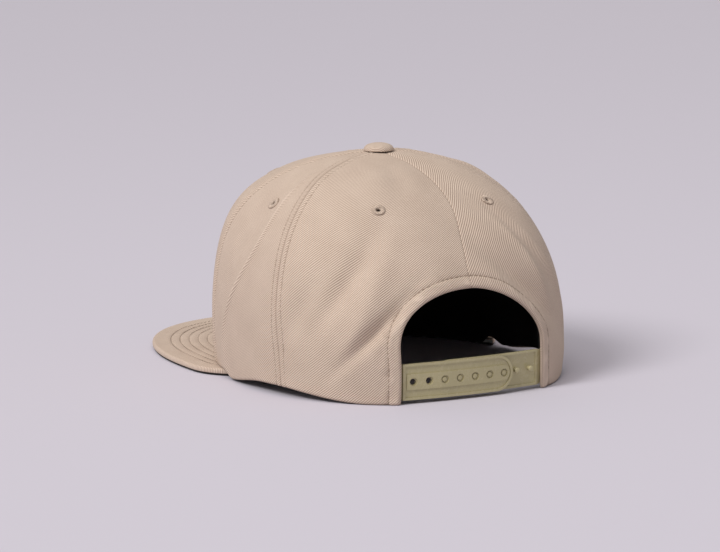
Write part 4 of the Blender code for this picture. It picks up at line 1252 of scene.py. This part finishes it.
def sew(name, rows, pitch, along, across, high, thread, uneven=0.16, closed=False):
    """Rows are pairs of points and upward directions. The result is one plain mesh."""
    points, ups, edges, start = [], [], [], 0
    for place, up in rows:
        points.append(place)
        ups.append(np.broadcast_to(up, place.shape))
        edges += [(start + i, start + i + 1) for i in range(len(place) - 1)]
        if closed:
            edges.append((start + len(place) - 1, start))
        start += len(place)
    lines = bpy.data.meshes.new(name + "_lines")
    lines.from_pydata(np.concatenate(points).tolist(), edges, [])
    attribute = lines.attributes.new("cloth_up", "FLOAT_VECTOR", "POINT")
    attribute.data.foreach_set("vector", np.concatenate(ups).astype(np.float32).reshape(-1))
    holder = bpy.data.objects.new(name, lines)
    bpy.context.scene.collection.objects.link(holder)
    modifier = holder.modifiers.new("stitches", "NODES")
    modifier.node_group = STITCH_TREE
    names = {item.name: item.identifier for item in STITCH_TREE.interface.items_tree}
    values = {"Pitch": pitch, "Along": along, "Across": across, "High": high, "Thread": thread}
    for label, value in {**values, "Unevenness": uneven}.items():
        modifier[names[label]] = value
    bpy.context.view_layer.update()
    graph = bpy.context.evaluated_depsgraph_get()
    mesh = bpy.data.meshes.new_from_object(holder.evaluated_get(graph))
    holder.modifiers.remove(modifier)
    bpy.data.objects.remove(holder)
    mesh.name = name
    for spare in [a.name for a in mesh.attributes if a.name == "cloth_up"]:
        mesh.attributes.remove(mesh.attributes[spare])
    piece = bpy.data.objects.new(name, mesh)
    bpy.context.scene.collection.objects.link(piece)
    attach(piece, "cap")
    print(name, len(mesh.vertices) // 34, "stitches")
    return piece


# %% Rows beside the seams, round the arch and round the visor
def seam_row(seam, side, offset, low, depth, lift):
    """A row that many metres beside a seam, from a share up to the button."""
    share = np.linspace(low, 0.97, 260)
    middle = SEAMS[seam](share) + 0.0 * share
    reach = look_up(RADII, middle, share)
    share, middle, reach = (v[reach > 0.0088] for v in (share, middle, reach))
    bearing = middle + side * offset / reach
    up = outward(bearing, share)
    relief = seam_relief(bearing, share) if depth == 0.0 else 0.0
    return cloth_point(bearing, share, depth - relief - lift), up


def arch_row():
    """The line on the back panels at a steady distance from the arch's edge, by halving."""
    x, z = arch_line(0.0, np.linspace(0.0, 1.0, 400))
    way = np.stack([np.gradient(z), -np.gradient(x)], axis=-1)
    way /= np.linalg.norm(way, axis=-1, keepdims=True)
    low, high = np.zeros(400), np.full(400, 2 * ARCH_BAND)
    for _ in range(16):
        middle = (low + high) / 2
        bearing, share = on_crown(x + way[:, 0] * middle, np.maximum(z + way[:, 1] * middle, 0))
        short = from_arch(crown_point(bearing, share, 0.0))[0] < ARCH_BAND
        low, high = np.where(short, middle, low), np.where(short, high, middle)
    points = cloth_point(bearing, share, 0.14 * MM)
    return points[3:-3], outward(bearing, share)[3:-3]


rows = [
    seam_row(seam, side, TOPSTITCH_OFFSET, 0.012, 0.0, 0.06 * MM)
    for seam in TOPSTITCHED
    for side in (-1, 1)
]
sew("crown_topstitching", rows + [arch_row()], 2.9 * MM, 2.3 * MM, 0.5 * MM, 0.4 * MM, tan_thread)


def visor_row(distance, height, up):
    """A row round the visor, without the places that would lie under the crown or double back."""
    tangent = np.gradient(FINE_EDGE, axis=0)
    tangent /= np.linalg.norm(tangent, axis=-1, keepdims=True)
    inward = np.stack([-tangent[:, 1], tangent[:, 0]], axis=-1)
    if ((RIM.mean(axis=0) - FINE_EDGE.mean(axis=0)) * inward[750]).sum() < 0:
        inward = -inward
    place = FINE_EDGE + inward * distance
    centred = place - np.array([AXIS.x, AXIS.y])
    turn = np.arctan2(centred[:, 0], -centred[:, 1])
    clear = np.linalg.norm(centred, axis=-1) > rim_reach(turn) + 0.4 * MM
    clear &= from_visor_edge(place) > distance - 0.05 * MM
    place = place[clear]
    if len(place) < 12:
        return None
    points = np.concatenate([place, np.full((len(place), 1), height)], axis=-1)
    return points, np.array([0.0, 0.0, up])


top_rows = [visor_row(d, VISOR_FACE - 0.12 * MM, 1.0) for d in VISOR_ROWS]
under_rows = [visor_row(d, 0.42 * MM, -1.0) for d in VISOR_ROWS]
top_rows = [row for row in top_rows if row is not None]
under_rows = [row for row in under_rows if row is not None]
sew("visor_top_stitching", top_rows, 3.0 * MM, 2.4 * MM, 0.5 * MM, 0.4 * MM, tan_thread)
sew("visor_under_stitching", under_rows, 3.0 * MM, 2.4 * MM, 0.5 * MM, 0.3 * MM, black_thread)

tape_rows = [
    seam_row(seam, side, 6.2 * MM, low + 0.01, depth + TAPE + 0.05 * MM, 0.0)
    for seam, depth, low in TAPES.values()
    for side in (-1, 1)
]
sew("tape_stitching", tape_rows, 2.9 * MM, 2.3 * MM, 0.4 * MM, 0.25 * MM, black_thread)

# %% [markdown]
# ## Eyelets
# An eyelet is a hole bound with thread laid close together, all pointing at its middle. The core
# is a turned ring that fills the cut in the cloth; the threads are the stitch tree again, set
# across the line instead of along it.


# %% Eyelets
def turned_ring(name, centre, up, profile, finish, steps=56):
    """A closed profile of radius and height, turned about a direction through a centre."""
    side = np.cross(up, [0.0, 0.0, 1.0])
    side /= np.linalg.norm(side)
    other = np.cross(up, side)
    turns = np.linspace(0, 2 * math.pi, steps, endpoint=False)
    around = np.cos(turns)[:, None] * side + np.sin(turns)[:, None] * other
    points = np.array([centre + around * r + up * z for r, z in profile])
    count = len(profile)
    index = np.arange(count * steps).reshape(count, steps)
    after, below = np.roll(index, -1, axis=1), np.roll(index, -1, axis=0)
    faces = np.stack([index, after, np.roll(below, -1, axis=1), below], axis=-1).reshape(-1, 4)
    flat = points.reshape(-1, 3)
    if volume_of(flat - centre, faces) < 0:
        faces = faces[:, ::-1]
    mesh = bpy.data.meshes.new(name)
    mesh.from_pydata(flat.tolist(), [], faces.tolist())
    return add_mesh(name, mesh, finish)


EYELET_HOLE, EYELET_NECK = 1.25 * MM, 1.75 * MM
SATIN_RADIUS = (EYELET_HOLE + EYELET_RADIUS) / 2
satin = []
for name, (turn, level) in EYELETS.items():
    skin = BUCKRAM_DEPTH + BUCKRAM if "front" in name else TWILL
    turn, level = np.array(turn), np.array(level)
    up = outward(turn, level)
    centre = cloth_point(turn, level, 0.0)
    under = -skin - 0.1 * MM
    profile = [
        (EYELET_HOLE, 0.05 * MM), (EYELET_HOLE + 0.3 * MM, 0.42 * MM), (SATIN_RADIUS, 0.55 * MM),
        (EYELET_RADIUS - 0.35 * MM, 0.35 * MM), (EYELET_RADIUS - 0.1 * MM, 0.06 * MM),
        (EYELET_NECK + 0.4 * MM, 0.0), (EYELET_NECK, -0.3 * MM), (EYELET_NECK, under + 0.2 * MM),
        (EYELET_NECK + 0.4 * MM, under), (EYELET_RADIUS - 0.1 * MM, under - 0.06 * MM),
        (EYELET_RADIUS - 0.4 * MM, under - 0.35 * MM), (SATIN_RADIUS, under - 0.45 * MM),
        (EYELET_HOLE, under - 0.2 * MM),
    ]
    ring = turned_ring(name + "_core", centre, up, profile, eyelet_thread)
    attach(ring, "cap")
    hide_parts(name)
    side = np.cross(up, [0.0, 0.0, 1.0])
    side /= np.linalg.norm(side)
    other = np.cross(up, side)
    turns = np.linspace(0, 2 * math.pi, 120, endpoint=False)
    circle = np.cos(turns)[:, None] * side + np.sin(turns)[:, None] * other
    satin.append((centre + circle * SATIN_RADIUS + up * 0.42 * MM, up))
    satin.append((centre + circle * SATIN_RADIUS + up * (under - 0.32 * MM), -up))
sew("eyelet_threads", satin, 0.36 * MM, 0.36 * MM, 2.5 * MM, 0.5 * MM, eyelet_thread, 0.06, closed=True)

# %% [markdown]
# ## Snap strap
# The strap is moulded in two halves that lap. Each half has a raised bead round it and a flat
# root that is sewn into the cap; the thin line between is a living hinge. The outer half has
# seven counterbored holes in a raised plateau, and the inner half seven pegs. Each half is drawn
# flat, joined by booleans, and then bent along the line that it follows.

# %% Strap sizes and line
STRAP_THICKNESS, STRAP_BEAD, STRAP_BEAD_WIDTH, STRAP_SAG = 0.0015, 0.0006, 0.0014, 0.0035
STRAP_TAB, STRAP_TAB_LENGTH, HINGE_INSET = 0.0012, 0.014, 0.0018
STRAP_SWING_CLEARANCE, HINGE_WEB = 0.0008, 0.0005
SNAP_COUNT, SNAP_PITCH, FIRST_SNAP, FIRST_PEG_IN_HOLE = 7, 0.00885, 0.0078, 2
HOLE_RADIUS, COUNTERBORE_RADIUS, COUNTERBORE_DEPTH = 0.00165, 0.0022, 0.0007
PEG_RADIUS, PEG_HEAD, TONGUE_OVERHANG = 0.0013, 0.00152, 0.0055
PLATEAU_HEIGHT, PLATEAU_OVERHANG = 0.0084, 0.0036
STRAP_STEP = STRAP_THICKNESS + 0.0003
HINGE_X = ARCH_HALF_WIDTH - HINGE_INSET
TAB_START = STRAP_THICKNESS / 2 + STRAP_BEAD + STRAP_SWING_CLEARANCE
TAB_END = HINGE_X + TAB_START + STRAP_TAB_LENGTH
LAST_HOLE_X = ARCH_HALF_WIDTH - FIRST_SNAP - (SNAP_COUNT - 1) * SNAP_PITCH
FIRST_PEG_X = ARCH_HALF_WIDTH - FIRST_SNAP - FIRST_PEG_IN_HOLE * SNAP_PITCH
TAB_MIDDLE_DEPTH = TAB_DEPTH + STRAP_TAB / 2


def root_y(x, z):
    """Y of the sewn root, which lies between the facing and the sweatband."""
    bearing, share = on_crown(x, z, TAB_MIDDLE_DEPTH)
    return cloth_point(bearing, share, TAB_MIDDLE_DEPTH)[..., 1]


STRAP_EDGE_Y = float(root_y(ARCH_HALF_WIDTH, STRAP_MIDDLE))
STRAP_SLOPE = float(
    root_y(ARCH_HALF_WIDTH, STRAP_RISE + STRAP_HEIGHT) - root_y(ARCH_HALF_WIDTH, STRAP_RISE)
) / STRAP_HEIGHT


def strap_place(x, h, t, outer):
    """A point of the flat strap, along, up and outwards, put where it belongs on the cap."""
    way = 1.0 if outer else -1.0
    z = STRAP_MIDDLE + h
    share = (ARCH_HALF_WIDTH - x) / (2 * ARCH_HALF_WIDTH)
    free = STRAP_EDGE_Y + STRAP_SAG * (1.0 - (x / ARCH_HALF_WIDTH) ** 2)
    free = free + STRAP_STEP * (share if outer else share - 1.0) + STRAP_SLOPE * h
    sewn = root_y(np.clip(way * x, HINGE_X - 0.001, 0.09) * way, z)
    sewn_share = smoothstep(way * x, HINGE_X - 0.4 * MM, HINGE_X + TAB_START)
    return np.stack([x, free + (sewn - free) * sewn_share + t, z - 0.0 * x], axis=-1)


# %% Flat plates, joined
def plate(name, loops, low, high):
    """A plate from closed outlines: the first is the outside and the others are holes."""
    curve = bpy.data.curves.new(name, "CURVE")
    curve.dimensions, curve.fill_mode, curve.extrude = "2D", "BOTH", (high - low) / 2
    for corners in loops:
        line = curve.splines.new("POLY")
        line.points.add(len(corners) - 1)
        for point, (x, y) in zip(line.points, corners):
            point.co = (x, y, 0.0, 1.0)
        line.use_cyclic_u = True
    holder = bpy.data.objects.new(name + "_curve", curve)
    bpy.context.scene.collection.objects.link(holder)
    bpy.context.view_layer.update()
    graph = bpy.context.evaluated_depsgraph_get()
    mesh = bpy.data.meshes.new_from_object(holder.evaluated_get(graph))
    bpy.data.objects.remove(holder)
    mesh.transform(Matrix.Translation((0.0, 0.0, (low + high) / 2)))
    shape = bmesh.new()
    shape.from_mesh(mesh)
    bmesh.ops.remove_doubles(shape, verts=shape.verts, dist=2e-6)
    bmesh.ops.recalc_face_normals(shape, faces=shape.faces)
    shape.to_mesh(mesh)
    shape.free()
    piece = bpy.data.objects.new(name, mesh)
    bpy.context.scene.collection.objects.link(piece)
    return piece


def combined(piece, others, operation):
    """The piece after booleans with the others, which are then removed."""
    for other in others:
        step = piece.modifiers.new("join", "BOOLEAN")
        step.operation, step.solver, step.object = operation, "EXACT", other
    bpy.context.view_layer.update()
    graph = bpy.context.evaluated_depsgraph_get()
    mesh = bpy.data.meshes.new_from_object(piece.evaluated_get(graph))
    for done in [piece, *others]:
        bpy.data.objects.remove(done)
    made = bpy.data.objects.new(mesh.name, mesh)
    bpy.context.scene.collection.objects.link(made)
    return made


def tongue(root_x, tip_x, half, root_half=None):
    """A strap's outline: square at its root and round at its tip."""
    way = math.copysign(1.0, tip_x - root_x)
    turns = np.linspace(-math.pi / 2, math.pi / 2, 29)
    x = tip_x - way * half + way * half * np.cos(turns)
    corners = list(zip(x.tolist(), (half * np.sin(turns)).tolist()))
    return [(root_x, -half), *corners, (root_x, half)]


def circle(x, radius):
    turns = np.linspace(0, 2 * math.pi, 32, endpoint=False)
    return [(x + radius * math.cos(t), radius * math.sin(t)) for t in turns]


def rectangle(x_low, x_high, half):
    return [(x_low, -half), (x_high, -half), (x_high, half), (x_low, half)]


# %% The two halves
def strap_half(name, outer):
    way = 1.0 if outer else -1.0
    half, thick = STRAP_HEIGHT / 2, STRAP_THICKNESS / 2
    root_x = way * (HINGE_X - 0.15 * MM)
    tip_x = LAST_HOLE_X - TONGUE_OVERHANG if outer else FIRST_PEG_X + TONGUE_OVERHANG
    base = thick if outer else thick - STRAP_BEAD
    face, rim = base + STRAP_BEAD, STRAP_BEAD_WIDTH
    body = plate(name, [tongue(root_x, tip_x, half)], -thick, base)
    bead_in = tongue(root_x - way * rim, tip_x + way * rim, half - rim)
    bead = plate(name + "_bead", [tongue(root_x, tip_x, half), bead_in], base - 0.2 * MM, face)
    web_low, web_high = sorted((way * (HINGE_X - 1.2 * MM), way * (HINGE_X + TAB_START + 1 * MM)))
    web = plate(
        name + "_web", [rectangle(web_low, web_high, half - 0.3 * MM)], -HINGE_WEB / 2, HINGE_WEB / 2
    )
    tab_low, tab_high = sorted((way * (HINGE_X + TAB_START), way * TAB_END))
    tab = plate(
        name + "_tab", [rectangle(tab_low, tab_high, half)], -STRAP_TAB / 2, STRAP_TAB / 2
    )
    joined = [bead, web, tab]
    stations_x = [LAST_HOLE_X + i * SNAP_PITCH for i in range(SNAP_COUNT)]
    if outer:
        far_x, near_x = LAST_HOLE_X - PLATEAU_OVERHANG, stations_x[-1] + PLATEAU_OVERHANG
        joined.append(
            plate(name + "_plateau", [tongue(near_x, far_x, PLATEAU_HEIGHT / 2)], base - 0.2 * MM, face)
        )
    body = combined(body, joined, "UNION")
    if outer:
        cuts = []
        for i, x in enumerate(stations_x):
            cuts.append(plate(f"{name}_hole_{i}", [circle(x, HOLE_RADIUS)], -4 * MM, 4 * MM))
            low = face - COUNTERBORE_DEPTH
            cuts.append(plate(f"{name}_bore_{i}", [circle(x, COUNTERBORE_RADIUS)], low, 4 * MM))
        body = combined(body, cuts, "DIFFERENCE")
    bevel = body.modifiers.new("edges", "BEVEL")
    bevel.width, bevel.segments, bevel.limit_method = 0.2 * MM, 2, "ANGLE"
    bevel.angle_limit, bevel.use_clamp_overlap = math.radians(40.0), True
    body = combined(body, [], "UNION")
    shape = bmesh.new()
    shape.from_mesh(body.data)
    low_x, high_x = sorted((tip_x, way * TAB_END))
    for x in np.arange(low_x + 0.0011, high_x, 0.0016):
        whole = shape.verts[:] + shape.edges[:] + shape.faces[:]
        bmesh.ops.bisect_plane(
            shape, geom=whole, plane_co=(float(x), 0, 0), plane_no=(1, 0, 0), dist=1e-6
        )
    bmesh.ops.triangulate(shape, faces=[f for f in shape.faces if len(f.verts) > 4])
    shape.to_mesh(body.data)
    shape.free()
    corners = np.array([v.co for v in body.data.vertices])
    x, h, t = corners[:, 0], corners[:, 1], corners[:, 2]
    corners = strap_place(x, h, t, outer)
    body.data.vertices.foreach_set("co", corners.astype(np.float32).reshape(-1))
    body.data.update()
    body.name = name
    return body


def peg_mesh(shape, x):
    """A domed peg on the inner half, turned about the outward direction."""
    base = STRAP_THICKNESS / 2 - STRAP_BEAD
    top = STRAP_STEP + STRAP_THICKNESS / 2 + STRAP_BEAD - 0.15 * MM
    under = top - 0.75 * MM
    profile = [(0, base - 0.3 * MM), (PEG_RADIUS, base - 0.3 * MM), (PEG_RADIUS, under - 0.3 * MM)]
    profile += [(PEG_HEAD, under), (PEG_HEAD, under + 0.25 * MM), (PEG_HEAD * 0.8, top - 0.15 * MM)]
    profile += [(PEG_HEAD * 0.4, top - 0.03 * MM), (0, top)]
    foot = strap_place(np.array([x]), np.array([0.0]), np.array([0.0]), False)[0]
    turns = np.linspace(0, 2 * math.pi, 24, endpoint=False)
    rings = []
    for radius, height in profile:
        if radius == 0:
            rings.append([shape.verts.new(foot + np.array([0.0, height, 0.0]))])
            continue
        ring = [foot + np.array([radius * math.cos(a), height, radius * math.sin(a)]) for a in turns]
        rings.append([shape.verts.new(point) for point in ring])
    for below, above in zip(rings, rings[1:]):
        for i in range(len(turns)):
            j = (i + 1) % len(turns)
            if len(below) == 1:
                shape.faces.new((below[0], above[j], above[i]))
            elif len(above) == 1:
                shape.faces.new((below[i], below[j], above[0]))
            else:
                shape.faces.new((below[i], below[j], above[j], above[i]))


def hinge_point(outer):
    way = 1.0 if outer else -1.0
    return strap_place(np.array([way * HINGE_X]), np.zeros(1), np.zeros(1), outer)[0]


for name, outer, body in (
    ("snap_strap_outer", True, "outer_strap"),
    ("snap_strap_inner", False, "inner_strap"),
):
    half_piece = strap_half(name + "_moulding", outer)
    mesh = half_piece.data
    if not outer:
        pegs = bmesh.new()
        for i in range(SNAP_COUNT):
            peg_mesh(pegs, FIRST_PEG_X - i * SNAP_PITCH)
        bmesh.ops.recalc_face_normals(pegs, faces=pegs.faces)
        peg_piece = bpy.data.meshes.new("snap_pegs")
        pegs.to_mesh(peg_piece)
        pegs.free()
        peg_object = bpy.data.objects.new("snap_pegs", peg_piece)
        bpy.context.scene.collection.objects.link(peg_object)
        half_piece = combined(half_piece, [peg_object], "UNION")
        half_piece.name, mesh = name + "_moulding", half_piece.data
    mesh.materials.clear()
    mesh.materials.append(strap_plastic)
    mesh.shade_smooth()
    mesh.set_sharp_from_angle(angle=math.radians(38.0))
    way = 1.0 if outer else -1.0
    x, y, z = hinge_point(outer)
    start = (x + way * TAB_START * 0.9, y, z)
    end = (x - way * 0.0012, y, z)
    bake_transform(half_piece, "cap", body, start, end)
    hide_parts(name, name + "_tab")
    print(half_piece.name, len(mesh.polygons), "faces, hinge at", [round(float(c), 5) for c in (x, y, z)])

# %% [markdown]
# The solids that stay as they are, inside the visor and under the button, only get a finish.

# %% Hidden solids
for name, finish in (
    ("visor_board", board_plastic),
    ("top_button_shell", steel),
    ("top_button_rivet", steel),
    ("top_button_washer", steel),
):
    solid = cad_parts[name]
    solid.data.materials.clear()
    solid.data.materials.append(finish)
# %% [markdown]
# ## Floor, light and camera
# The cap stands on a plain pale floor that reaches past the edge of the view, so that no wall
# hides it from another side. A broad, distant lamp high on the left gives the main shade, evenly
# over the whole floor. A large disc above brightens the floor near the cap, and the world adds a
# little light from all round.


# %% Stage
def plain_finish(name, colour):
    finish = Finish(name, Roughness=0.9, Specular_IOR_Level=0.15)
    finish.set("Base Color", colour)
    return finish.material


floor_mesh = bpy.data.meshes.new("floor")
disc = bmesh.new()
bmesh.ops.create_circle(disc, cap_ends=True, radius=9.0, segments=96)
disc.to_mesh(floor_mesh)
disc.free()
floor = bpy.data.objects.new("floor", floor_mesh)
bpy.context.scene.collection.objects.link(floor)
floor.location.z = -0.0003
floor_mesh.materials.append(plain_finish("pale_floor", (0.597, 0.572, 0.65)))

scene = bpy.context.scene
scene.view_settings.view_transform = "Standard"
world = bpy.data.worlds.new("soft_room")
world.use_nodes = True
world.node_tree.nodes["Background"].inputs["Color"].default_value = (1.0, 0.965, 0.94, 1.0)
world.node_tree.nodes["Background"].inputs["Strength"].default_value = 0.44
scene.world = world

VIEW_BEARING, VIEW_RISE, VIEW_DISTANCE = math.radians(151.183), math.radians(9.733), 2.202236
VIEW_ROLL, VIEW_TARGET = math.radians(-0.624), Vector((0.037557, 0.078576, 0.060))


def direction(azimuth, rise):
    """The unit vector towards a viewer at that azimuth and height."""
    flat = math.cos(rise)
    return Vector((math.sin(azimuth) * flat, -math.cos(azimuth) * flat, math.sin(rise)))


def lamp(name, azimuth, rise, distance, size, power, colour):
    light = bpy.data.lights.new(name, "AREA")
    light.shape, light.size, light.energy, light.color = "DISK", size, power, colour
    holder = bpy.data.objects.new(name, light)
    bpy.context.scene.collection.objects.link(holder)
    aim = direction(math.radians(azimuth), math.radians(rise))
    holder.location = Vector((0.0, 0.03, 0.05)) + aim * distance
    holder.rotation_mode = "QUATERNION"
    holder.rotation_quaternion = aim.to_track_quat("Z", "Y")
    return holder


sun = bpy.data.lights.new("key_lamp", "SUN")
sun.energy, sun.angle, sun.color = 1.95, math.radians(24.0), (1.0, 0.97, 0.94)
key = bpy.data.objects.new("key_lamp", sun)
scene.collection.objects.link(key)
key.rotation_mode = "QUATERNION"
key.rotation_quaternion = direction(math.radians(101.0), math.radians(43.0)).to_track_quat("Z", "Y")
lamp("top_lamp", 130.0, 72.0, 1.8, 1.4, 8.0, (1.0, 0.98, 0.96))

camera = bpy.data.objects.new("camera", bpy.data.cameras.new("camera"))
scene.collection.objects.link(camera)
camera.data.lens, camera.data.sensor_width = 208.26, 36.0
back = direction(VIEW_BEARING, VIEW_RISE)
level = Vector((math.cos(VIEW_BEARING), math.sin(VIEW_BEARING), 0.0))
above = back.cross(level)
right = level * math.cos(VIEW_ROLL) + above * math.sin(VIEW_ROLL)
above = above * math.cos(VIEW_ROLL) - level * math.sin(VIEW_ROLL)
place = Matrix((right, above, back)).transposed().to_4x4()
place.translation = VIEW_TARGET + back * VIEW_DISTANCE
camera.matrix_world = place
scene.camera = camera
print("camera", round(VIEW_DISTANCE, 3), "m away, lens", camera.data.lens)
